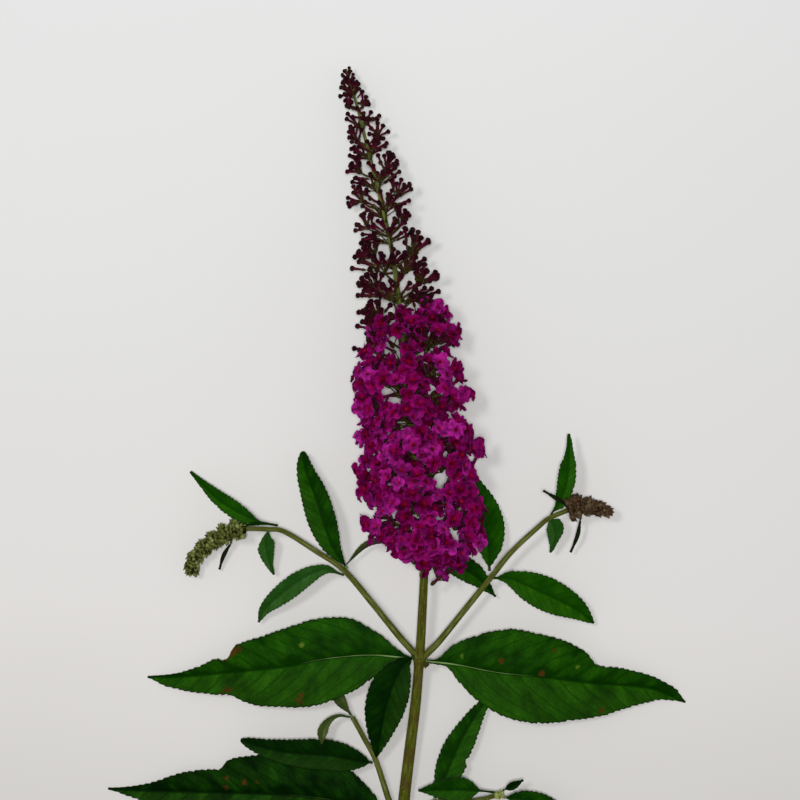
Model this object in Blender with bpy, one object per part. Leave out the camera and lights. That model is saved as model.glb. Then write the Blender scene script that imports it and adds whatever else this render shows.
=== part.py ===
"""Flowering branch of a butterfly bush, cut and laid down on a flat surface.

Units are metres in the scene and millimetres in the tables below. The branch
lies along +Y: its cut end is at the bottom of the view from above, and its
long flower head, a panicle, points up the view. +Z is up. The origin is on
the surface, under the middle of the branch's box.
"""
import math
import random

import bmesh
import bpy
from mathutils import Matrix, Vector
from mathutils.bvhtree import BVHTree

for old in list(bpy.data.objects):
    bpy.data.objects.remove(old, do_unlink=True)

MM = 0.001
SEED = 41
GOLDEN = 0.381966
GAP = 0.38           # clear space between neighbouring pieces
CHECK_GAP = 0.35     # space that a twig must keep to be planted
SHIFT = Vector((0.0, -2.4, -0.1))   # moves the drawn branch onto its origin

# Stems, as (x, y, z) of the centre line and the radius there
MAIN_STEM = [
    ((-0.4, -160.9, 2.35), 2.25),
    ((1.8, -137.2, 4.2), 2.30),
    ((2.0, -135.2, 4.4), 2.70),
    ((2.3, -132.8, 4.6), 2.30),
    ((3.0, -122.8, 5.8), 2.15),
    ((5.2, -103.7, 8.2), 2.05),
    ((7.3, -86.4, 10.4), 1.90),
    ((8.6, -71.6, 12.3), 1.80),
    ((8.9, -68.3, 12.7), 2.25),
    ((9.1, -65.2, 13.1), 1.75),
    ((9.6, -56.3, 14.2), 1.65),
    ((10.4, -40.4, 16.4), 1.55),
    ((10.8, -30.5, 17.8), 1.50),
    ((10.9, -24.0, 18.7), 1.50),
]
SHOOTS = {
    "stem_left": (
        [(5.9, -64.6, 13.2), (0.4, -58.8, 13.0), (-9.8, -46.1, 13.8),
         (-21.0, -32.7, 14.5), (-31.6, -25.4, 15.0), (-44.3, -17.3, 14.8),
         (-50.8, -16.2, 14.3), (-59.3, -16.5, 13.0)], 1.25, 0.85),
    "stem_right": (
        [(12.5, -65.2, 12.9), (16.3, -60.4, 13.0), (26.8, -47.1, 13.8),
         (36.8, -34.6, 14.5), (44.5, -24.6, 15.2), (55.4, -14.9, 15.8),
         (59.8, -12.3, 15.8), (66.9, -9.2, 15.3)], 1.25, 0.85),
    "stem_low_left": (
        [(-1.3, -130.6, 5.2), (-3.8, -123.2, 5.8), (-8.5, -108.6, 7.4),
         (-13.1, -99.8, 8.2), (-17.6, -91.6, 8.6)], 1.20, 0.85),
    "stem_low_right": (
        [(6.4, -131.5, 5.4), (9.0, -129.0, 6.2), (14.3, -125.6, 7.4),
         (23.0, -125.1, 8.2), (32.1, -124.4, 8.6), (39.4, -122.4, 9.0)], 1.20, 0.80),
}

# Leaves: centre line from the stalk's foot to the tip, half widths to the
# left and right of it, where along it the blade is widest (0 to 1), how much
# its sides rise (+) or fall (-), and its turn about its own centre line
LEAVES = {
    "leaf_upper_left": dict(
        path=[(5.6, -68.0, 12.5), (-9.8, -66.5, 12.8), (-27.6, -67.9, 12.6),
              (-45.0, -71.3, 11.0), (-66.6, -73.9, 7.5), (-88.1, -76.2, 3.4),
              (-100.0, -76.5, 0.7)], rise=-0.10, thick=1.1, rows=19, cols=4,
        edge=[(0.00, 0.8, 0.8), (0.05, 0.8, 0.9), (0.12, 3.2, 3.8), (0.21, 9.1, 12.6),
              (0.31, 15.8, 16.2), (0.41, 17.0, 15.8), (0.50, 15.4, 14.2),
              (0.59, 13.8, 12.2), (0.65, 11.5, 10.6), (0.69, 8.7, 4.8),
              (0.73, 8.6, 6.2), (0.79, 7.5, 4.3), (0.86, 5.9, 2.4),
              (0.93, 3.8, 1.0), (1.00, 0.5, 0.4)]),
    "leaf_upper_right": dict(
        path=[(11.6, -68.9, 12.8), (23.7, -70.3, 13.0), (40.4, -73.5, 12.6),
              (58.5, -75.4, 11.0), (77.0, -78.1, 7.5), (100.5, -80.6, 3.4),
              (115.5, -86.7, 0.7)], rise=-0.10, thick=1.1, rows=19, cols=4,
        edge=[(0.00, 0.8, 0.8), (0.04, 1.0, 1.0), (0.08, 6.0, 2.4), (0.13, 9.5, 7.9),
              (0.20, 13.8, 12.6), (0.30, 17.2, 17.4), (0.41, 16.8, 19.0),
              (0.52, 15.6, 17.8), (0.59, 12.8, 15.6), (0.64, 7.6, 14.2),
              (0.73, 6.9, 10.9), (0.86, 4.5, 5.9), (0.95, 2.6, 1.8),
              (1.00, 0.4, 0.4)]),
    "leaf_base_left": dict(
        path=[(-1.7, -136.6, 4.3), (-9.9, -130.4, 5.2), (-19.9, -126.8, 5.6),
              (-30.6, -124.2, 5.6), (-46.5, -122.9, 5.0), (-69.7, -122.4, 3.6),
              (-102.2, -121.8, 1.6), (-115.6, -121.1, 0.7)],
        rise=-0.04, thick=1.2, rows=17, cols=4,
        edge=[(0.00, 0.8, 0.8), (0.05, 1.4, 1.4), (0.10, 5.5, 7.0), (0.18, 11.5, 12.7),
              (0.27, 15.5, 16.3), (0.41, 17.0, 17.0), (0.51, 15.5, 15.3),
              (0.57, 14.0, 12.5), (0.60, 13.3, 9.6), (0.66, 12.0, 9.3),
              (0.75, 9.0, 7.7), (0.85, 5.5, 3.6), (0.94, 2.4, 1.2), (1.00, 0.5, 0.4)]),
    "leaf_base_right": dict(
        path=[(4.9, -136.8, 4.3), (17.1, -140.0, 5.2), (33.0, -143.1, 5.4),
              (52.9, -146.1, 4.6), (81.0, -149.7, 2.6), (108.3, -151.3, 0.7)],
        left=16.0, right=15.0, peak=0.42, rise=-0.04, thick=1.15, rows=12, cols=4),
    "leaf_node_hanging": dict(
        path=[(5.9, -67.2, 15.4), (1.6, -70.7, 16.0), (-3.1, -79.9, 15.6),
              (-6.3, -92.0, 13.6), (-8.4, -107.3, 10.8)],
        left=6.6, right=7.6, peak=0.45, rise=0.10, thick=0.5, rows=10, cols=4),
    "leaf_left_upright": dict(
        path=[(-20.2, -31.0, 16.3), (-25.1, -23.6, 16.8), (-28.7, -14.1, 16.6),
              (-32.2, -3.2, 15.0), (-35.9, 6.2, 12.0), (-37.3, 14.0, 9.5)],
        left=5.4, right=5.6, peak=0.47, rise=0.12, thick=0.6, rows=10, cols=4),
    "leaf_left_lower": dict(
        path=[(-22.2, -34.4, 14.0), (-28.3, -33.6, 14.3), (-36.2, -36.4, 13.6),
              (-45.8, -41.3, 11.5), (-52.3, -48.3, 8.0), (-55.1, -54.3, 5.5)],
        left=3.6, right=3.9, peak=0.52, rise=0.25, thick=0.5, rows=9, cols=2),
    "leaf_left_far": dict(
        path=[(-53.9, -13.9, 14.2), (-61.0, -10.6, 14.2), (-69.0, -6.0, 12.6),
              (-75.5, -0.6, 10.5), (-82.0, 5.9, 8.0)],
        left=3.9, right=3.9, peak=0.42, rise=0.15, thick=0.45, rows=8, cols=2),
    "leaf_left_small": dict(
        path=[(-50.9, -17.9, 12.5), (-51.9, -21.4, 12.0), (-51.0, -27.9, 10.0),
              (-48.8, -35.3, 7.0)],
        left=3.6, right=3.9, peak=0.42, rise=0.10, thick=0.4, rows=6, cols=2),
    "bract_left_top": dict(
        path=[(-59.4, -15.0, 15.2), (-53.0, -14.2, 17.2), (-46.7, -15.0, 17.6)],
        left=0.8, right=0.8, peak=0.4, rise=0.2, thick=0.4, rows=4, cols=2),
    "bract_left_low": dict(
        path=[(-66.4, -23.4, 6.6), (-69.0, -27.8, 5.6), (-70.8, -33.4, 3.4)],
        left=0.9, right=0.9, peak=0.4, rise=0.2, thick=0.4, rows=4, cols=2),
    "leaf_right_behind": dict(
        path=[(36.5, -31.6, 12.6), (36.3, -24.0, 10.4), (35.3, -16.0, 7.0),
              (33.4, -7.6, 4.0), (31.1, -0.1, 2.6), (28.7, 7.9, 2.0)],
        left=6.6, right=6.8, peak=0.42, rise=-0.04, thick=0.6, rows=10, cols=4),
    "leaf_right_lower": dict(
        path=[(38.9, -36.0, 14.4), (44.9, -37.2, 14.8), (54.4, -41.0, 14.0),
              (64.4, -45.0, 11.5), (71.7, -49.0, 9.0), (78.4, -54.6, 6.0)],
        left=6.9, right=6.9, peak=0.47, rise=0.10, thick=0.6, rows=10, cols=4),
    "leaf_right_upright": dict(
        path=[(61.2, -9.8, 16.4), (63.6, -4.6, 16.6), (65.9, 3.2, 16.6),
              (67.0, 11.8, 15.5), (67.9, 21.0, 12.5)],
        left=3.7, right=3.8, peak=0.50, rise=0.12, thick=0.5, rows=8, cols=2),
    "leaf_right_small": dict(
        path=[(60.2, -13.9, 14.4), (61.8, -16.6, 13.6), (62.8, -21.1, 11.5),
              (61.0, -26.2, 8.5)],
        left=3.7, right=3.7, peak=0.45, rise=0.15, thick=0.4, rows=6, cols=2),
    "bract_right_top": dict(
        path=[(66.6, -6.9, 17.8), (61.9, -4.0, 19.8), (57.2, -1.2, 20.2)],
        left=1.0, right=1.0, peak=0.4, rise=0.2, thick=0.4, rows=4, cols=2),
    "bract_right_low": dict(
        path=[(72.6, -14.6, 11.0), (72.0, -20.0, 9.6), (69.3, -26.4, 6.0)],
        left=0.9, right=0.9, peak=0.4, rise=0.2, thick=0.4, rows=4, cols=2),
    "leaf_spike_left": dict(
        path=[(8.6, -24.6, 17.0), (1.2, -22.0, 14.4), (-5.1, -21.2, 12.6),
              (-12.6, -23.4, 10.8), (-20.0, -30.8, 8.0)],
        left=3.0, right=3.0, peak=0.5, rise=0.10, turn=58.0, thick=0.5, rows=9, cols=2),
    "leaf_spike_right": dict(
        path=[(13.0, -25.8, 17.6), (19.3, -28.4, 14.4), (25.3, -31.6, 11.0),
              (32.1, -36.3, 8.6), (39.3, -44.1, 5.6)],
        left=5.0, right=5.0, peak=0.48, rise=-0.08, thick=0.5, rows=9, cols=4),
    "leaf_low_left": dict(
        path=[(-10.9, -109.4, 9.2), (-18.6, -107.9, 10.0), (-27.7, -106.2, 10.2),
              (-40.4, -105.5, 9.8), (-52.3, -103.6, 8.8), (-62.1, -100.6, 8.0)],
        left=6.5, right=6.5, peak=0.36, rise=0.06, thick=0.6, rows=10, cols=4),
    "leaf_tuft_up": dict(
        path=[(-18.3, -90.6, 8.0), (-21.4, -86.6, 7.0), (-24.2, -82.6, 6.0),
              (-27.4, -78.4, 4.8)],
        left=2.8, right=2.8, peak=0.45, rise=0.0, thick=0.4, rows=6, cols=2),
    "leaf_tuft_down": dict(
        path=[(-18.4, -91.3, 10.0), (-23.3, -89.9, 10.9), (-28.0, -91.8, 11.4),
              (-30.6, -96.2, 11.7), (-29.8, -101.2, 12.0)],
        left=2.2, right=2.2, peak=0.42, rise=0.2, thick=0.4, rows=7, cols=2),
    "leaf_low_right_upright": dict(
        path=[(15.2, -123.4, 9.2), (18.2, -117.1, 8.4), (21.0, -110.5, 7.8),
              (24.6, -102.6, 7.2), (28.6, -95.2, 6.4), (33.0, -88.6, 5.6),
              (39.8, -80.4, 4.4)],
        left=6.0, right=6.2, peak=0.40, rise=0.06, thick=0.7, rows=12, cols=4),
    "leaf_low_right_inner": dict(
        path=[(38.6, -121.0, 10.8), (31.6, -120.1, 11.2), (24.1, -119.7, 11.4),
              (15.4, -119.8, 11.2), (8.3, -120.2, 10.8)],
        left=4.3, right=4.3, peak=0.62, rise=0.05, thick=0.45, rows=8, cols=2),
    "leaf_low_right_outer": dict(
        path=[(43.4, -123.4, 9.0), (48.9, -123.6, 9.8), (56.6, -125.9, 9.4),
              (64.6, -129.9, 8.0), (72.0, -135.6, 5.8)],
        left=4.8, right=4.6, peak=0.42, rise=0.12, thick=0.45, rows=8, cols=2),
    "leaf_tuft_right": dict(
        path=[(42.9, -119.7, 10.6), (46.2, -117.9, 11.6), (49.9, -115.8, 12.0)],
        left=1.2, right=1.2, peak=0.4, rise=0.2, thick=0.4, rows=4, cols=2),
}

# The panicle's axis: it runs on from the main stem and droops to its tip
RACHIS = [
    (10.9, -23.4, 18.8), (10.4, -14.7, 20.0), (9.4, -4.9, 21.0), (7.8, 6.9, 21.8),
    (6.3, 18.6, 22.0), (4.7, 30.3, 21.8), (3.3, 42.0, 21.2), (2.2, 53.7, 20.3),
    (0.8, 72.6, 18.3), (-2.3, 94.7, 15.7), (-7.1, 115.8, 13.2), (-12.2, 136.2, 10.8),
    (-15.8, 150.6, 9.4), (-20.4, 165.4, 8.2),
]
RACHIS_RADIUS = (1.40, 0.45)

# Rows of open flowers: y where the rim of the flowers stands, and the reach
# of the flowers to the left and right of the axis
FLOWER_ROWS = [
    (-28.0, 8.0, 17.0), (-21.0, 20.0, 23.0), (-15.5, 24.0, 24.8), (-9.0, 23.8, 25.4),
    (-2.0, 23.6, 25.2), (5.0, 25.0, 24.8), (12.0, 22.6, 26.0), (18.5, 20.0, 25.2),
    (25.5, 21.2, 20.2), (32.0, 20.6, 23.2), (38.5, 21.0, 26.0), (45.5, 21.4, 22.8),
    (53.0, 16.6, 20.0),
]
FLOWERS_PER_ROW = 11
FLOWER_REACH = 3.9      # from a flower's middle to the end of a petal
NOTCH_REACH = 2.9       # from its middle to the notch between two petals
LIMB_DEPTH = 1.5
TUBE_RADIUS = 0.62
STALK_RADIUS = 0.55
FOOT_SPREAD = 4.6       # length of axis that the feet of one row take
ROOT_MARGIN = 1.1       # from a root to the end of its mass's piece of the axis

# Pairs of opposite clusters of buds: y of their tips, reach left and right,
# and their turn about the axis (0 is out to the sides, 90 up and down)
BUD_ROWS = [
    (59.0, 20.0, 22.4, 15), (65.5, 18.0, 19.0, 100), (72.0, 17.0, 18.6, 10),
    (78.0, 16.2, 17.5, 95), (83.5, 16.0, 17.8, 5), (89.5, 18.0, 14.0, 90),
    (96.0, 15.6, 16.4, 0), (101.5, 13.5, 12.0, 85), (106.5, 14.2, 12.0, -5),
    (112.0, 13.5, 13.0, 80), (117.5, 14.2, 14.2, -10), (123.5, 13.2, 12.8, 75),
    (128.5, 11.0, 11.6, -15), (134.5, 9.0, 9.4, 70), (140.5, 7.6, 11.0, -20),
    (146.0, 7.2, 9.0, 65), (152.5, 5.4, 6.4, -25), (158.5, 6.0, 4.8, 60),
]
BUDS_PER_CLUSTER = (5, 4)      # below and above SMALL_BUDS_FROM
BUD_HEAD = (1.15, 0.95)
SMALL_BUDS_FROM = 100.0
TIP_BUDS = 7

# Panicle masses, as (first y, last y) of their piece of the axis
PANICLE_MASSES = {
    "panicle_lower_flowers": (-23.4, 14.0),
    "panicle_upper_flowers": (14.0, 45.6),
    "panicle_lower_buds": (45.6, 98.0),
    "panicle_tip_buds": (98.0, 166.0),
}

SPIKES = {
    "spike_left": dict(
        path=[(-60.0, -16.6, 12.9), (-64.1, -18.0, 12.0), (-70.6, -21.4, 10.3),
              (-76.6, -26.0, 8.6), (-80.2, -31.3, 7.0), (-81.3, -36.4, 5.6)],
        rows=7, wide=4.6, tip=1.6, knob=1.9),
    "spike_right": dict(
        path=[(67.6, -9.0, 15.1), (71.2, -8.3, 14.8), (76.0, -8.5, 14.0),
              (80.8, -9.6, 13.0), (84.6, -10.6, 12.0)],
        rows=5, wide=4.6, tip=1.2, knob=1.9),
    "tuft_buds": dict(
        path=[(39.9, -122.3, 9.1), (42.4, -121.6, 9.6)],
        rows=2, wide=1.4, tip=0.9, knob=1.1),
}


def material(name, colour, roughness):
    """Plain Principled material; the colour is an sRGB triple from 0 to 255."""
    made = bpy.data.materials.new(name)
    made.use_nodes = True
    shader = made.node_tree.nodes["Principled BSDF"]
    linear = [pow(channel / 255.0, 2.2) for channel in colour]
    shader.inputs["Base Color"].default_value = (*linear, 1.0)
    shader.inputs["Roughness"].default_value = roughness
    shader.inputs["Metallic"].default_value = 0.0
    return made


STEM_GREEN = material("stem_green", (104, 108, 46), 0.62)
LEAF_GREEN = material("leaf_green", (26, 78, 20), 0.55)
FLOWER_PURPLE = material("flower_purple", (138, 12, 108), 0.60)
BUD_MAROON = material("bud_maroon", (66, 12, 34), 0.60)
SPIKE_GREY = material("spike_grey_green", (106, 112, 80), 0.75)
SPIKE_BROWN = material("spike_brown", (92, 70, 50), 0.80)


def smooth_path(points, steps):
    """Points of a smooth curve through the given ones, steps to each span."""
    points = [Vector(point) for point in points]
    padded = [2 * points[0] - points[1], *points, 2 * points[-1] - points[-2]]
    curve = []
    for index in range(1, len(padded) - 2):
        before, start, end, after = padded[index - 1:index + 3]
        for step in range(steps):
            t = step / steps
            curve.append(0.5 * (2 * start + (end - before) * t
                                + (2 * before - 5 * start + 4 * end - after) * t * t
                                + (3 * start - before - 3 * end + after) * t ** 3))
    curve.append(points[-1])
    return curve


def along(curve, share):
    """Point and direction at a share (0 to 1) of a curve's length."""
    lengths = [0.0]
    for first, second in zip(curve, curve[1:]):
        lengths.append(lengths[-1] + (second - first).length)
    wanted = min(max(share, 0.0), 1.0) * lengths[-1]
    index = 0
    while index < len(curve) - 2 and lengths[index + 1] < wanted:
        index += 1
    span = lengths[index + 1] - lengths[index]
    t = (wanted - lengths[index]) / span
    point = curve[index].lerp(curve[index + 1], t)
    before = curve[max(index - 1, 0)]
    after = curve[min(index + 2, len(curve) - 1)]
    return point, (after - before).normalized()


def table_value(rows, key, column):
    """Value of one column of a table at a key, in straight lines between rows."""
    if key <= rows[0][0]:
        return rows[0][column]
    for first, second in zip(rows, rows[1:]):
        if key <= second[0]:
            t = (key - first[0]) / (second[0] - first[0])
            return first[column] + (second[column] - first[column]) * t
    return rows[-1][column]


def frame_at(point, direction, turn=0.0):
    """Matrix at a point: X to the right of the direction, Y along it, Z up."""
    right = direction.cross(Vector((0.0, 0.0, 1.0))).normalized()
    up = right.cross(direction).normalized()
    axes = Matrix((right, direction, up)).transposed()
    axes = axes @ Matrix.Rotation(math.radians(turn), 3, "Y")
    return Matrix.Translation(point) @ axes.to_4x4()


def finish(mesh_data, name, paint):
    """Makes an object of a bmesh drawn in millimetres."""
    bmesh.ops.transform(mesh_data, matrix=Matrix.Translation(SHIFT), verts=mesh_data.verts)
    bmesh.ops.scale(mesh_data, vec=(MM, MM, MM), verts=mesh_data.verts)
    bmesh.ops.recalc_face_normals(mesh_data, faces=mesh_data.faces)
    mesh = bpy.data.meshes.new(name)
    mesh_data.to_mesh(mesh)
    mesh_data.free()
    mesh.materials.append(paint)
    made = bpy.data.objects.new(name, mesh)
    bpy.context.scene.collection.objects.link(made)
    return made


def ring_edges(ring):
    """Edges that join two corners of one ring."""
    corners = set(ring)
    return list({edge for vert in ring for edge in vert.link_edges
                 if edge.other_vert(vert) in corners})


def tube(points, radii, sides, square_start=None):
    """Closed round tube through the points; its first end can be cut square
    to a given direction."""
    body = bmesh.new()
    rings = []
    for index, (point, radius) in enumerate(zip(points, radii)):
        before = points[max(index - 1, 0)]
        after = points[min(index + 1, len(points) - 1)]
        direction = (after - before).normalized()
        if index == 0 and square_start is not None:
            direction = Vector(square_start)
        place = frame_at(point, direction) @ Matrix.Rotation(math.radians(90), 4, "X")
        ring = bmesh.ops.create_circle(body, segments=sides, radius=radius, matrix=place)
        rings.append(ring["verts"])
    for first, second in zip(rings, rings[1:]):
        bmesh.ops.bridge_loops(body, edges=ring_edges(first) + ring_edges(second))
    for ring in (rings[0], rings[-1]):
        bmesh.ops.contextual_create(body, geom=ring)
    return body


def stem(name, points, radii, sides, square_start=None):
    body = tube(points, radii, sides, square_start)
    return finish(body, name, STEM_GREEN)


def make_main_stem():
    """The cut stem, from its square cut end to the foot of the panicle."""
    points = [Vector(point) for point, _ in MAIN_STEM]
    radii = [radius for _, radius in MAIN_STEM]
    return stem("main_stem", points, radii, 12, square_start=(0.0, 1.0, 0.0))


def make_shoot(name, points, foot_radius, tip_radius):
    """A side shoot that leaves the main stem at a node."""
    curve = smooth_path(points, 2)
    last = len(curve) - 1
    radii = [foot_radius + (tip_radius - foot_radius) * i / last for i in range(last + 1)]
    return stem(name, curve, radii, 8)


def blade_half_width(leaf, share, side):
    """Half width of a blade at a share of its length; side is -1 left, 1 right."""
    if "edge" in leaf:
        return table_value(leaf["edge"], share, 1 if side < 0 else 2)
    widest = leaf["left"] if side < 0 else leaf["right"]
    bend = math.log(0.5) / math.log(leaf["peak"])
    stalk = 0.55
    return max(widest * math.sin(math.pi * share ** bend), stalk * (1 - 0.4 * share))


def make_leaf(name, leaf):
    """A thin blade bent along its centre line, with its sides raised or fallen."""
    blade = bmesh.new()
    bmesh.ops.create_grid(blade, x_segments=leaf["cols"], y_segments=leaf["rows"], size=1.0)
    curve = smooth_path(leaf["path"], 6)
    for vert in blade.verts:
        across = vert.co.x
        share = (vert.co.y + 1) / 2
        point, direction = along(curve, share)
        half = blade_half_width(leaf, share, across)
        lift = leaf["rise"] * abs(across) * half
        local = Vector((across * half, 0.0, lift))
        vert.co = frame_at(point, direction, leaf.get("turn", 0.0)) @ local
    made = finish(blade, name, LEAF_GREEN)
    if made.data.polygons[0].normal.z < 0:
        made.data.flip_normals()
    shell = made.modifiers.new("thickness", "SOLIDIFY")
    shell.thickness = leaf["thick"] * MM
    shell.offset = 0.0
    shell.use_even_offset = False
    return made


def cone_between(body, start, end, start_radius, end_radius, sides):
    """A closed cone or prism from one point to another; returns its new parts."""
    direction = end - start
    turn = direction.to_track_quat("Z", "Y").to_matrix().to_4x4()
    place = Matrix.Translation((start + end) / 2) @ turn
    return bmesh.ops.create_cone(
        body, cap_ends=True, cap_tris=False, segments=sides, radius1=start_radius,
        radius2=end_radius, depth=direction.length, matrix=place)


def flower_shells(root, centre, spin):
    """An open flower: its stalk and tube in one slim piece from the axis, and a
    shallow cone with four petals at its rim."""
    tube_part = bmesh.new()
    outward = (centre - root).normalized()
    cone_between(tube_part, root, centre - outward * 0.4, STALK_RADIUS, TUBE_RADIUS, 3)
    limb = bmesh.new()
    turn = outward.to_track_quat("Z", "Y").to_matrix().to_4x4()
    place = Matrix.Translation(centre) @ turn @ Matrix.Rotation(spin, 4, "Z")
    made = bmesh.ops.create_cone(
        limb, cap_ends=True, cap_tris=False, segments=8, radius1=0.0,
        radius2=FLOWER_REACH, depth=LIMB_DEPTH,
        matrix=Matrix.Translation((0, 0, -LIMB_DEPTH / 2)))
    rim = [vert for vert in limb.verts if vert.co.xy.length > FLOWER_REACH / 2]
    rim.sort(key=lambda vert: math.atan2(vert.co.y, vert.co.x))
    for vert in rim[::2]:
        vert.co.xy *= NOTCH_REACH / FLOWER_REACH
    bmesh.ops.remove_doubles(limb, verts=limb.verts, dist=0.001)
    bmesh.ops.transform(limb, matrix=place, verts=limb.verts)
    return [tube_part, limb]


def bud_shells(root, tip):
    """A closed bud: a slim tube that swells to a head with a blunt end."""
    outward = (tip - root).normalized()
    neck = tip - outward * 1.4
    bud = bmesh.new()
    cone_between(bud, root, neck, 0.45, BUD_HEAD[tip.y > SMALL_BUDS_FROM], 3)
    end = max(bud.faces, key=lambda face: face.calc_center_median().dot(outward)
              if len(face.verts) == 3 and abs(face.normal.dot(outward)) > 0.9 else -1e9)
    head = bmesh.ops.extrude_discrete_faces(bud, faces=[end])["faces"][0]
    middle = head.calc_center_median()
    for vert in head.verts:
        vert.co = middle + (vert.co - middle) * 0.45 + outward * 1.4
    return [bud]


class Crowd:
    """Pieces planted so far, which later ones keep clear of."""

    def __init__(self):
        self.trees = []

    def add_object(self, made):
        graph = bpy.context.evaluated_depsgraph_get()
        body = bmesh.new()
        body.from_object(made, graph)
        bmesh.ops.scale(body, vec=(1 / MM, 1 / MM, 1 / MM), verts=body.verts)
        bmesh.ops.transform(body, matrix=Matrix.Translation(-SHIFT), verts=body.verts)
        self.trees.append(BVHTree.FromBMesh(body))
        body.free()

    def touches(self, shells):
        for shell in shells:
            own = BVHTree.FromBMesh(shell)
            for tree in self.trees:
                if own.overlap(tree):
                    return True
                for vert in shell.verts:
                    if tree.find_nearest(vert.co, CHECK_GAP)[0] is not None:
                        return True
        return False


def fuse(name, core, shells, paint):
    """Joins the shells to the core with one Boolean union and applies it."""
    holder = bpy.data.collections.new(name + "_pieces")
    for index, shell in enumerate(shells):
        piece = finish(shell, f"{name}_piece_{index}", paint)
        bpy.context.scene.collection.objects.unlink(piece)
        holder.objects.link(piece)
    made = finish(core, name, paint)
    union = made.modifiers.new("union", "BOOLEAN")
    union.operation = "UNION"
    union.operand_type = "COLLECTION"
    union.collection = holder
    union.solver = "EXACT"
    graph = bpy.context.evaluated_depsgraph_get()
    fused = bmesh.new()
    fused.from_object(made, graph)
    made.modifiers.clear()
    for piece in list(holder.objects):
        bpy.data.objects.remove(piece, do_unlink=True)
    bpy.data.collections.remove(holder)
    keep_outer_body(fused)
    bmesh.ops.triangulate(fused, faces=fused.faces)
    fused.to_mesh(made.data)
    open_edges = sum(1 for edge in fused.edges if len(edge.link_faces) != 2)
    print(name, "faces", len(fused.faces), "open edges", open_edges)
    fused.free()
    return made


def keep_outer_body(body):
    """Drops loose scraps and sealed hollows: only the largest shell stays."""
    unseen = set(body.verts)
    islands = []
    while unseen:
        island = {unseen.pop()}
        edge_of_island = list(island)
        while edge_of_island:
            vert = edge_of_island.pop()
            for edge in vert.link_edges:
                other = edge.other_vert(vert)
                if other in unseen:
                    unseen.discard(other)
                    island.add(other)
                    edge_of_island.append(other)
        islands.append(island)
    islands.sort(key=len, reverse=True)
    scraps = [vert for island in islands[1:] for vert in island]
    bmesh.ops.delete(body, geom=scraps, context="VERTS")


RACHIS_CURVE = smooth_path(RACHIS, 6)


def rachis_share(y):
    """Share of the axis's length at which it passes a given y."""
    low, high = 0.0, 1.0
    for _ in range(30):
        middle = (low + high) / 2
        if along(RACHIS_CURVE, middle)[0].y < y:
            low = middle
        else:
            high = middle
    return (low + high) / 2


def rachis_frame(y):
    """Frame on the axis at y: local X right, Y along the axis, Z up."""
    point, direction = along(RACHIS_CURVE, rachis_share(y))
    return frame_at(point, direction)


def around(turn, left, right, below):
    """Offset from the axis at a turn (0 right, 90 up): an oval that is as wide
    as the reaches to each side, and no deeper than the room below."""
    side = right if math.cos(turn) > 0 else left
    upright = (left + right) / 2
    if math.sin(turn) < 0:
        upright = min(upright, below)
    return Vector((side * math.cos(turn), 0.0, upright * math.sin(turn)))


def flower_row(y, left, right, number, rng):
    """Centres of one row of flowers, and where along the axis their stalks leave
    it, lower down, to rise outward."""
    rim = rachis_frame(y)
    foot_y = max(y - 0.42 * (left + right) / 2, RACHIS[0][1] + 3.0)
    floor_room = rim.translation.z - FLOWER_REACH * 0.5
    flowers = []
    for index in range(number):
        turn = math.tau * (index + 0.5 * (round(y) % 2) + rng.uniform(-0.2, 0.2)) / number
        reach = around(turn, left - 0.6, right - 0.6, floor_room)
        centre = rim @ (reach * rng.uniform(0.93, 1.0) + Vector((0, rng.uniform(-2, 2), 0)))
        spread = FOOT_SPREAD * (GOLDEN * index % 1.0 - 0.5)
        flowers.append((foot_y + spread, centre, rng.uniform(0, math.tau)))
    return foot_y, flowers


def plant_flowers(first_y, last_y, crowd, rng):
    """Shells of the flower rows whose feet stand on this stretch of the axis."""
    shells = []
    inside = (first_y + ROOT_MARGIN, last_y - ROOT_MARGIN)
    for y, left, right in FLOWER_ROWS:
        number = max(7, round(FLOWERS_PER_ROW * (left + right) / 48))
        foot_y, flowers = flower_row(y, left, right, number, rng)
        if not first_y <= foot_y < last_y:
            continue
        for root_y, centre, spin in flowers:
            root = rachis_frame(min(max(root_y, inside[0]), inside[1])).translation
            plant(flower_shells(root, centre, spin), crowd, shells)
    return shells


def plant(made, crowd, shells):
    """Keeps the shells if they are above the floor and clear of other pieces."""
    lowest = min(vert.co.z for shell in made for vert in shell.verts)
    if lowest < 0.02 or crowd.touches(made):
        for shell in made:
            shell.free()
        return
    shells.extend(made)


def bud_clusters(y, left, right, turn, rng):
    """Roots and tips of two opposite clusters of buds, each on one stalk."""
    tips_frame = rachis_frame(y)
    foot = rachis_frame(y - 0.62 * (left + right) / 2)
    floor_room = tips_frame.translation.z - 0.8
    for side in (0.0, 180.0):
        middle = math.radians(turn + side)
        knot = foot @ (around(middle, 0.36 * left, 0.36 * right, floor_room)
                       + Vector((0, 0.10 * (left + right), 0)))
        buds = []
        crosswise = abs(math.sin(math.radians(turn))) > 0.7
        number = BUDS_PER_CLUSTER[y > SMALL_BUDS_FROM] - crosswise
        for index in range(number):
            share = (index + 0.5) / number - 0.5
            spread = middle + math.radians(118 * share) + rng.uniform(-0.12, 0.12)
            reach = around(spread, left, right, floor_room)
            reach *= rng.uniform(0.90, 1.0) - 0.22 * (index % 2)
            rise = 2.6 * (index % 2) + rng.uniform(-1.2, 1.2)
            tip = tips_frame @ (reach + Vector((0, rise, 0)))
            buds.append(tip)
        yield foot.translation, knot, buds


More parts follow.
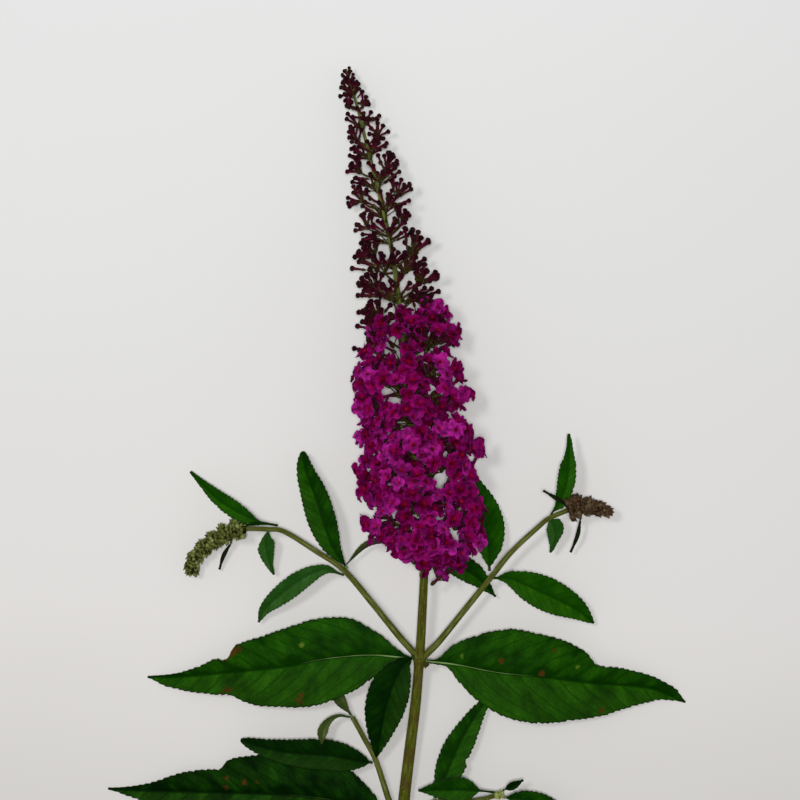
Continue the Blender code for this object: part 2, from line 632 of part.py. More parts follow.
def plant_buds(first_y, last_y, crowd, rng):
    """Shells of the bud clusters whose feet stand on this stretch of the axis."""
    shells = []
    for y, left, right, turn in BUD_ROWS:
        for foot, knot, buds in bud_clusters(y, left, right, turn, rng):
            if not first_y <= foot.y < last_y:
                continue
            stalk = bmesh.new()
            cone_between(stalk, foot, knot, 0.75, 0.65, 3)
            count = len(shells)
            plant([stalk], crowd, shells)
            if len(shells) == count:
                continue
            for index, tip in enumerate(buds):
                root = foot.lerp(knot, 0.45 + 0.5 * (index + 0.5) / len(buds))
                plant(bud_shells(root, tip), crowd, shells)
    return shells


def plant_tip(crowd, rng):
    """Small upright buds round the very tip of the axis."""
    shells = []
    for index in range(TIP_BUDS):
        share = index / TIP_BUDS
        frame = rachis_frame(158.0 + 5.5 * share)
        turn = math.radians(137.5 * index)
        reach = 2.4 - 1.4 * share
        tip = frame @ Vector((reach * math.cos(turn), 3.2, reach * math.sin(turn)))
        plant(bud_shells(frame.translation.copy(), tip), crowd, shells)
    return shells


def make_panicle(crowd):
    """The flower head in masses, each grown from its own piece of the axis."""
    rng = random.Random(SEED)
    end_y = RACHIS[-1][1]
    for name, (first_y, last_y) in PANICLE_MASSES.items():
        start = rachis_share(first_y + (GAP if first_y > RACHIS[0][1] else 0.0))
        end = rachis_share(min(last_y, end_y - 0.4))
        count = 9
        points = []
        radii = []
        for step in range(count + 1):
            share = start + (end - start) * step / count
            points.append(along(RACHIS_CURVE, share)[0])
            radii.append(RACHIS_RADIUS[0] + (RACHIS_RADIUS[1] - RACHIS_RADIUS[0]) * share)
        core = tube(points, radii, 6)
        own = Crowd()
        own.trees = list(crowd.trees)
        if "flowers" in name:
            shells = plant_flowers(first_y, last_y, own, rng)
        else:
            shells = plant_buds(first_y, last_y, own, rng)
        if name == "panicle_tip_buds":
            shells += plant_tip(own, rng)
        paint = FLOWER_PURPLE if "flowers" in name else BUD_MAROON
        made = fuse(name, core, shells, paint)
        crowd.add_object(made)


def make_spike(name, spike, paint, crowd, rng):
    """An unopened or faded flower head: knobs in rows on a slim axis."""
    curve = smooth_path(spike["path"], 4)
    count = 2 * spike["rows"]
    points = [along(curve, step / count)[0] for step in range(count + 1)]
    radii = [0.8 - 0.4 * step / count for step in range(count + 1)]
    core = tube(points, radii, 6)
    shells = []
    for row in range(spike["rows"]):
        share = (row + 0.7) / spike["rows"]
        place = frame_at(*along(curve, min(share, 0.97)))
        wide = spike["wide"] + (spike["tip"] - spike["wide"]) * share ** 1.5
        knob = spike["knob"] * (1 - 0.45 * share)
        number = 4 if share < 0.8 else 3
        for index in range(number):
            turn = math.tau * (index + 0.5 * (row % 2)) / number + rng.uniform(-0.15, 0.15)
            offset = Vector((math.cos(turn), 0.35, math.sin(turn))) * wide
            body = bmesh.new()
            cone_between(body, place.translation, place @ offset, 0.5, knob, 4)
            plant([body], crowd, shells)
    made = fuse(name, core, shells, paint)
    crowd.add_object(made)
    return made


def main():
    crowd = Crowd()
    crowd.add_object(make_main_stem())
    for name, (points, foot_radius, tip_radius) in SHOOTS.items():
        crowd.add_object(make_shoot(name, points, foot_radius, tip_radius))
    for name, leaf in LEAVES.items():
        crowd.add_object(make_leaf(name, leaf))
    rng = random.Random(SEED + 1)
    make_spike("spike_left", SPIKES["spike_left"], SPIKE_GREY, crowd, rng)
    make_spike("spike_right", SPIKES["spike_right"], SPIKE_BROWN, crowd, rng)
    make_spike("tuft_buds", SPIKES["tuft_buds"], SPIKE_GREY, crowd, rng)
    make_panicle(crowd)


main()
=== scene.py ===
# %% [markdown]
# # A flowering branch of butterfly bush
# The branch was cut and laid on pale paper, and it is seen from straight above.
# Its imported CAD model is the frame: every piece made here is drawn in the same
# place and at the same size. The drawing is in millimetres, as the branch lies,
# and each finished piece is moved and scaled to metres once, in its mesh.
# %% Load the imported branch
import bisect
import math
import random

import bmesh
import bpy
from mathutils import Matrix, Vector, noise


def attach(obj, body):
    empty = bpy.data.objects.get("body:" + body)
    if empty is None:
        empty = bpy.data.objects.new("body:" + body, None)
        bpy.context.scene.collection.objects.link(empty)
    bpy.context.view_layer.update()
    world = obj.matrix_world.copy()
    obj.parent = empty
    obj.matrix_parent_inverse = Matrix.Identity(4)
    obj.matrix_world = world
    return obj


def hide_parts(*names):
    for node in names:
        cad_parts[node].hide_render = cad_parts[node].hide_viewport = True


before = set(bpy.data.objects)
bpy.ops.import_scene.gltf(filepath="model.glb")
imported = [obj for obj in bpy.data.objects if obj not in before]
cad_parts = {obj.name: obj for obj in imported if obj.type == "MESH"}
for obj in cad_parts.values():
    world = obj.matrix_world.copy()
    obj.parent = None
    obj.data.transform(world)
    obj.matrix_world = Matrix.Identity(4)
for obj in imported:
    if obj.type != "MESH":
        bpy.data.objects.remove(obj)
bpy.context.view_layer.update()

print("solids of the CAD model:", len(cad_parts))

# %% [markdown]
# ## Colours
# A colour is written as the sRGB hex that a colour picker reads off a leaf or
# petal. Shaders count in linear light, so one function turns it.
# %% Colours
MM = 0.001
SHIFT = Vector((0.0, -2.4, -0.1))      # mm from the drawing's place to the frame's


def linear(code):
    """Linear RGBA of an sRGB hex colour."""
    channels = [int(code[i:i + 2], 16) / 255 for i in (1, 3, 5)]
    return (*[c / 12.92 if c < 0.04045 else ((c + 0.055) / 1.055) ** 2.4 for c in channels], 1.0)


print("mid leaf green in linear light:", [round(c, 4) for c in linear("#1F450B")])

# %% [markdown]
# ## Nodes
# A material could be built by hand in the node editor, but then nobody can read
# it here. So one function adds a node with its settings, links and, for a ramp,
# its stops, and a material reads from top to bottom as a list of steps. What is
# the same all over a surface is set on the shader's own socket. Sizes of patterns
# are real ones: a noise of scale 1 / 2 on a place in mm has lumps 2 mm apart.
# %% Nodes
def plug(tree, value, socket):
    """Sets a socket to a number or colour, or links it to another socket, or to the
    first output in use of another node."""
    if isinstance(value, bpy.types.Node):
        value = next(output for output in value.outputs if output.enabled)
    if isinstance(value, bpy.types.NodeSocket):
        tree.links.new(value, socket)
    else:
        socket.default_value = linear(value) if isinstance(value, str) else value


def add(tree, kind, inputs=None, stops=None, **settings):
    """Adds a shader node with its settings, what goes into it and a ramp's stops."""
    made = tree.nodes.new("ShaderNode" + kind)
    for name, value in settings.items():
        setattr(made, name, value)
    for name, value in (inputs or {}).items():
        plug(tree, value, made.inputs[name])
    for index, (place, code) in enumerate(stops or []):
        ramp = made.color_ramp.elements
        stop = ramp[index] if index < 2 else ramp.new(place)
        stop.position = place
        stop.color = linear(code)
    return made


def start_paint(name, **inputs):
    """A Principled material, with what is the same all over set on its sockets."""
    made = bpy.data.materials.new(name)
    made.use_nodes = True
    shader = made.node_tree.nodes["Principled BSDF"]
    for socket, value in inputs.items():
        shader.inputs[socket.replace("_", " ")].default_value = value
    return made, made.node_tree, shader


def finish_paint(tree, shader, colour, relief, strength, depth):
    """Lays the colour on the shader, and the relief, whose depth is in mm."""
    bump = add(tree, "Bump", {"Height": relief, "Strength": strength, "Distance": depth * MM})
    plug(tree, colour, shader.inputs["Base Color"])
    plug(tree, bump, shader.inputs["Normal"])


print("a paint is made by", start_paint.__name__, "then", add.__name__, "then",
      finish_paint.__name__)

# %% [markdown]
# ## Paths
# Stems, leaves and the flower head all follow a line. A Catmull-Rom curve runs
# through the same points as the CAD solids, so what is bent along it stays in
# their place. Blender's own curves would need an object for each. Direction is
# blended between samples: a fine mesh shows every kink that a coarse one hides.
# %% Between points
SAMPLES = 8                            # steps of a path from one point to the next


def clamp(value, low=0.0, high=1.0):
    """The value, held between two limits."""
    return min(max(value, low), high)


def segment(keys, key):
    """Which step of a rising list a key falls in, and how far along that step."""
    index = clamp(bisect.bisect(keys, key) - 1, 0, len(keys) - 2)
    return index, clamp((key - keys[index]) / (keys[index + 1] - keys[index]))


def smooth(before, start, end, after, t):
    """A Catmull-Rom curve from start to end, of points or of numbers."""
    return 0.5 * (2 * start + (end - before) * t
                  + (2 * before - 5 * start + 4 * end - after) * t * t
                  + (3 * start - before - 3 * end + after) * t ** 3)


def between_rows(rows, key, column):
    """Value of a table's column at a key, on a smooth line between its rows."""
    index, t = segment([row[0] for row in rows], key)
    four = [rows[clamp(index + step, 0, len(rows) - 1)][column] for step in (-1, 0, 1, 2)]
    return smooth(*four, t)


print("halfway from 1 to 2, after 0 and before 5:", smooth(0, 1, 2, 5, 0.5))

# %% A path
class Path:
    """A smooth line through points; its frames have X to the right and Z up."""

    def __init__(self, points, steps=SAMPLES):
        points = [Vector(point) for point in points]
        padded = [2 * points[0] - points[1], *points, 2 * points[-1] - points[-2]]
        self.points = []
        for index in range(1, len(padded) - 2):
            self.points += [smooth(*padded[index - 1:index + 3], step / steps)
                            for step in range(steps)]
        self.points.append(points[-1])
        last = len(self.points) - 1
        self.headings = [(self.points[min(i + 1, last)] - self.points[max(i - 1, 0)]).normalized()
                         for i in range(last + 1)]
        self.marks = [0.0]
        for first, second in zip(self.points, self.points[1:]):
            self.marks.append(self.marks[-1] + (second - first).length)
        self.length = self.marks[-1]
        self.known = {}

    def frame(self, share, turn=0.0):
        """Place and axes at a share of the length, turned about the path."""
        key = (round(share, 5), turn)
        if key not in self.known:
            index, t = segment(self.marks, clamp(share) * self.length)
            point = self.points[index].lerp(self.points[index + 1], t)
            ahead = self.headings[index].lerp(self.headings[index + 1], t).normalized()
            right = ahead.cross(Vector((0, 0, 1))).normalized()
            axes = Matrix((right, ahead, right.cross(ahead))).transposed()
            axes = axes @ Matrix.Rotation(math.radians(turn), 3, "Y")
            self.known[key] = Matrix.Translation(point) @ axes.to_4x4()
        return self.known[key]


print("a bend through three points:", round(Path([(0, 0, 0), (9, 0, 0), (9, 9, 0)]).length, 1), "mm")

# %% [markdown]
# ## From a shape to a piece
# Every shape is a bmesh in the drawing's millimetres. It carries a point layer
# called "own": where each point lay on the part before the part was bent. A
# pattern that reads it follows the stem or leaf round every curve. The piece
# rides on the CAD body, and the plain solids that it covers are hidden.
# %% Finish a piece
def new_shape():
    """An empty bmesh with the layer that keeps where its points lay."""
    shape = bmesh.new()
    shape.verts.layers.float_vector.new("own")
    return shape


def piece(shape, name, paints, slot, *nodes):
    """Moves a shape to its place in metres, on the root body, and hides the solids it covers."""
    place = Matrix.Scale(MM, 4) @ Matrix.Translation(SHIFT)
    bmesh.ops.transform(shape, matrix=place, verts=shape.verts)
    mesh = bpy.data.meshes.new(name)
    shape.to_mesh(mesh)
    shape.free()
    for paint in paints:
        mesh.materials.append(paint)
    mesh.polygons.foreach_set("use_smooth", [True] * len(mesh.polygons))
    made = bpy.data.objects.new(name, mesh)
    bpy.context.scene.collection.objects.link(made)
    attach(made, "root")
    if nodes:
        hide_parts(*nodes)
    mesh.calc_loop_triangles()
    print(f"{name}: {len(mesh.loop_triangles)} triangles")


# %% [markdown]
# ## A rod along a path
# A young stem of this shrub is slightly square, with a raised line at each
# corner and a swollen node where a pair of leaves stands. A bevelled curve would
# be quicker, but it can't swell on one side or carry ridges. So a cylinder is cut
# into short rings, and each point is set at the stem's own radius for that place
# and turn, then bent along the path.
# %% Bend a rod
RING_SPACING = 0.9                     # mm along a stem from one ring to the next


def add_rod(shape, path, radius_at, sides, spacing=RING_SPACING, drop=0.0):
    """Adds a closed rod; radius_at gives its radius at a share and a turn."""
    own = shape.verts.layers.float_vector["own"]
    start, first_edge = len(shape.verts), len(shape.edges)
    bmesh.ops.create_cone(shape, cap_ends=True, segments=sides, radius1=1.0, radius2=1.0,
                          depth=1.0)
    shape.edges.ensure_lookup_table()
    lengthwise = [edge for edge in shape.edges[first_edge:]
                  if abs(edge.verts[0].co.z - edge.verts[1].co.z) > 0.5]
    bmesh.ops.subdivide_edges(shape, edges=lengthwise,
                              cuts=max(2, round(path.length / spacing)), use_grid_fill=False)
    shape.verts.ensure_lookup_table()
    for vert in shape.verts[start:]:
        share = vert.co.z + 0.5
        turn = math.atan2(-vert.co.y, vert.co.x)
        radius = radius_at(share, turn)
        local = Vector((radius * math.cos(turn), 0.0, radius * math.sin(turn)))
        vert[own] = local + Vector((0.0, share * path.length, 0.0))
        local.z -= drop
        vert.co = path.frame(share) @ local
    return shape.verts[start:]


def squared(turn):
    """A round outline drawn a little to four corners, with a fine raised line on each."""
    corner = math.cos(4 * turn)
    return 1.0 + 0.035 * corner + 0.03 * max(corner, 0.0) ** 12


print("a stem's corner stands out to", round(squared(0.0), 3), "of its radius")

# %% [markdown]
# ## Young bark and cut wood
# Bark is a matt olive skin with brown streaks along it and pale breathing
# pores, so the eye reads it as living but turning woody. The streaks are a noise
# drawn out along the stem, because a picture of bark would smear round a bend.
# %% Bark
def stem_paint(name, greens, streak, brown_share):
    made, tree, shader = start_paint(name, Roughness=0.62, Specular_IOR_Level=0.05)
    own = add(tree, "Attribute", attribute_name="own").outputs["Vector"]
    # fibres 0.6 mm wide and eleven times as long, and brown patches 9 mm across
    drawn_out = add(tree, "VectorMath", {0: own, 1: (1.0, 0.09, 1.0)}, operation="MULTIPLY")
    fibre = add(tree, "TexNoise", {"Vector": drawn_out, "Scale": 1 / 0.625, "Detail": 4.0})
    patch = add(tree, "TexNoise", {"Vector": own, "Scale": 1 / 9.09, "Detail": 3.0})
    green = add(tree, "ValToRGB", {"Fac": fibre},
                [(0.30, greens[0]), (0.48, greens[1]), (0.70, greens[2])])
    brown = add(tree, "MapRange", {"Value": patch, "From Min": 0.62 - brown_share,
                                   "From Max": 0.80 - brown_share, "To Max": 0.85})
    barked = add(tree, "Mix", {0: brown, 6: green, 7: streak}, data_type="RGBA")
    # a pore 0.3 mm wide about every 1.8 mm
    pores = add(tree, "TexVoronoi", {"Vector": own, "Scale": 1 / 1.818, "Randomness": 1.0})
    pore = add(tree, "MapRange", {"Value": pores, "From Min": 0.10, "From Max": 0.16,
                                  "To Min": 0.5, "To Max": 0.0})
    speckled = add(tree, "Mix", {0: pore, 6: barked, 7: "#8A8A58"}, data_type="RGBA")
    finish_paint(tree, shader, speckled, fibre, 0.35, 0.3)
    return made


STEM_SKIN = stem_paint("stem_skin", ("#2E3606", "#484E08", "#60622A"), "#4A3A18", 0.13)
SHOOT_SKIN = stem_paint("shoot_skin", ("#343A0C", "#4E541C", "#6E7440"), "#4A4020", 0.06)
AXIS_SKIN = stem_paint("axis_skin", ("#38421A", "#525C24", "#727C3E"), "#4A3A20", 0.08)
print("bark paints:", STEM_SKIN.name, SHOOT_SKIN.name, AXIS_SKIN.name)


# %% Cut wood
# Pale rings round a white pith, as a sharp blade leaves them.
CUT_RADIUS = 2.27                      # mm, of the stem where it was cut


def cut_paint():
    made, tree, shader = start_paint("cut_wood", Roughness=0.7, Specular_IOR_Level=0.2)
    own = add(tree, "Attribute", attribute_name="own").outputs["Vector"]
    flat = add(tree, "VectorMath", {0: own, 1: (1.0, 0.0, 1.0)}, operation="MULTIPLY")
    radius = add(tree, "VectorMath", {0: flat}, operation="LENGTH")
    share = add(tree, "Math", {0: radius, 1: 1 / CUT_RADIUS}, operation="MULTIPLY")
    rings = add(tree, "ValToRGB", {"Fac": share},
                [(0.0, "#D9D2B0"), (0.30, "#CFC79C"), (0.36, "#A9A66A"), (0.85, "#B9B782"),
                 (0.97, "#6B7030")])
    plug(tree, rings, shader.inputs["Base Color"])
    return made


CUT_WOOD = cut_paint()
print("paint of the cut end:", CUT_WOOD.name)

# %% [markdown]
# ## The main stem
# The stem rises a little from its square cut end to the flower head. Its radius
# is given at each point of its path and runs smoothly between them. At the two
# nodes it swells, and a fallen leaf scale has left a ring above each.
# %% Main stem
MAIN_STEM = [
    ((-0.4, -160.9, 2.35), 2.25),
    ((1.8, -137.2, 4.2), 2.30),
    ((2.0, -135.2, 4.4), 2.70),
    ((2.3, -132.8, 4.6), 2.30),
    ((3.0, -122.8, 5.8), 2.15),
    ((5.2, -103.7, 8.2), 2.05),
    ((7.3, -86.4, 10.4), 1.90),
    ((8.6, -71.6, 12.3), 1.80),
    ((8.9, -68.3, 12.7), 2.25),
    ((9.1, -65.2, 13.1), 1.75),
    ((9.6, -56.3, 14.2), 1.65),
    ((10.4, -40.4, 16.4), 1.55),
    ((10.8, -30.5, 17.8), 1.50),
    ((10.9, -24.0, 18.7), 1.50),
]
NODES = (-135.2, -68.3)                # y of the two swollen nodes
RING_ABOVE = 2.2                       # mm from a node to the ring above it
CUT_RIM = 0.28                         # mm of bark round the cut face


def make_main_stem():
    path = Path([point for point, _ in MAIN_STEM])
    shares = [path.marks[SAMPLES * index] / path.length for index in range(len(MAIN_STEM))]
    radii = [(share, radius) for share, (_, radius) in zip(shares, MAIN_STEM)]
    scars = [share for share, (point, _) in zip(shares, MAIN_STEM) if point[1] in NODES]

    def radius_at(share, turn):
        radius = between_rows(radii, share, 1) * squared(turn)
        for scar in scars:
            gap = (share - scar) * path.length
            radius += (0.16 * math.exp(-(gap / 0.55) ** 2)
                       + 0.05 * math.exp(-((gap - RING_ABOVE) / 0.4) ** 2))
        ripple = noise.noise(Vector((2.0 * math.cos(turn), share * 60, math.sin(turn))))
        return radius * (1.0 + 0.018 * ripple)

    shape = new_shape()
    add_rod(shape, path, radius_at, 28)
    ends = [face for face in shape.faces if len(face.verts) > 4]
    cut = min(ends, key=lambda face: face.calc_center_median().y)
    rim = bmesh.ops.inset_region(shape, faces=[cut], thickness=CUT_RIM)["faces"]
    for face in [cut, *rim]:
        face.material_index = 1
    bmesh.ops.recalc_face_normals(shape, faces=shape.faces)
    piece(shape, "main_stem_bark", [STEM_SKIN, CUT_WOOD], "stem_green", "main_stem")


make_main_stem()

# %% [markdown]
# ## The side shoots
# Two shoots stand in the corners of each node. They are thinner and greener than
# the stem, taper to the tip and swell at both ends, so they are the same rod with
# a plainer rule for the radius. Each starts 4 mm inside the stem, so no gap shows.
# %% Side shoots
SHOOTS = {
    "stem_left": (
        [(5.9, -64.6, 13.2), (0.6, -58.7, 13.0), (-9.6, -46.0, 13.8),
         (-21.0, -32.7, 14.5), (-31.8, -25.3, 15.0), (-44.3, -17.6, 14.8),
         (-50.8, -16.7, 14.3), (-59.3, -16.5, 13.0)], 1.25, 0.85),
    "stem_right": (
        [(12.5, -65.2, 12.9), (16.8, -60.8, 13.0), (27.4, -47.6, 13.8),
         (37.4, -35.1, 14.5), (45.3, -25.3, 15.2), (55.9, -15.4, 15.8),
         (59.8, -12.3, 15.8), (66.9, -9.2, 15.3)], 1.25, 0.85),
    "stem_low_left": (
        [(-1.3, -130.6, 5.2), (-3.8, -123.2, 5.8), (-8.5, -108.6, 7.4),
         (-13.1, -99.8, 8.2), (-17.6, -91.6, 8.6)], 1.20, 0.85),
    "stem_low_right": (
        [(6.4, -131.5, 5.4), (9.0, -129.0, 6.2), (14.3, -125.6, 7.4),
         (23.0, -125.1, 8.2), (32.1, -124.4, 8.6), (39.4, -122.4, 9.0)], 1.20, 0.80),
}
ROOTED = 4.0                           # mm of a shoot inside the stem


def rooted(points, depth):
    """The same points with one more, that reaches into the stem they stand on."""
    first, second = Vector(points[0]), Vector(points[1])
    return [first + (first - second).normalized() * depth, *points]


def make_shoot(name, points, foot, tip):
    path = Path(rooted(points, ROOTED))

    def radius_at(share, turn):
        radius = (foot + (tip - foot) * share) * squared(turn)
        collar = math.exp(-share * path.length / 1.4) + math.exp((share - 1) * path.length / 1.6)
        return radius * (1.0 + 0.12 * collar)

    shape = new_shape()
    add_rod(shape, path, radius_at, 16)
    bmesh.ops.recalc_face_normals(shape, faces=shape.faces)
    piece(shape, name + "_bark", [SHOOT_SKIN], "stem_green", name)


for name, (points, foot, tip) in SHOOTS.items():       # foot and tip: radius in mm
    make_shoot(name, points, foot, tip)

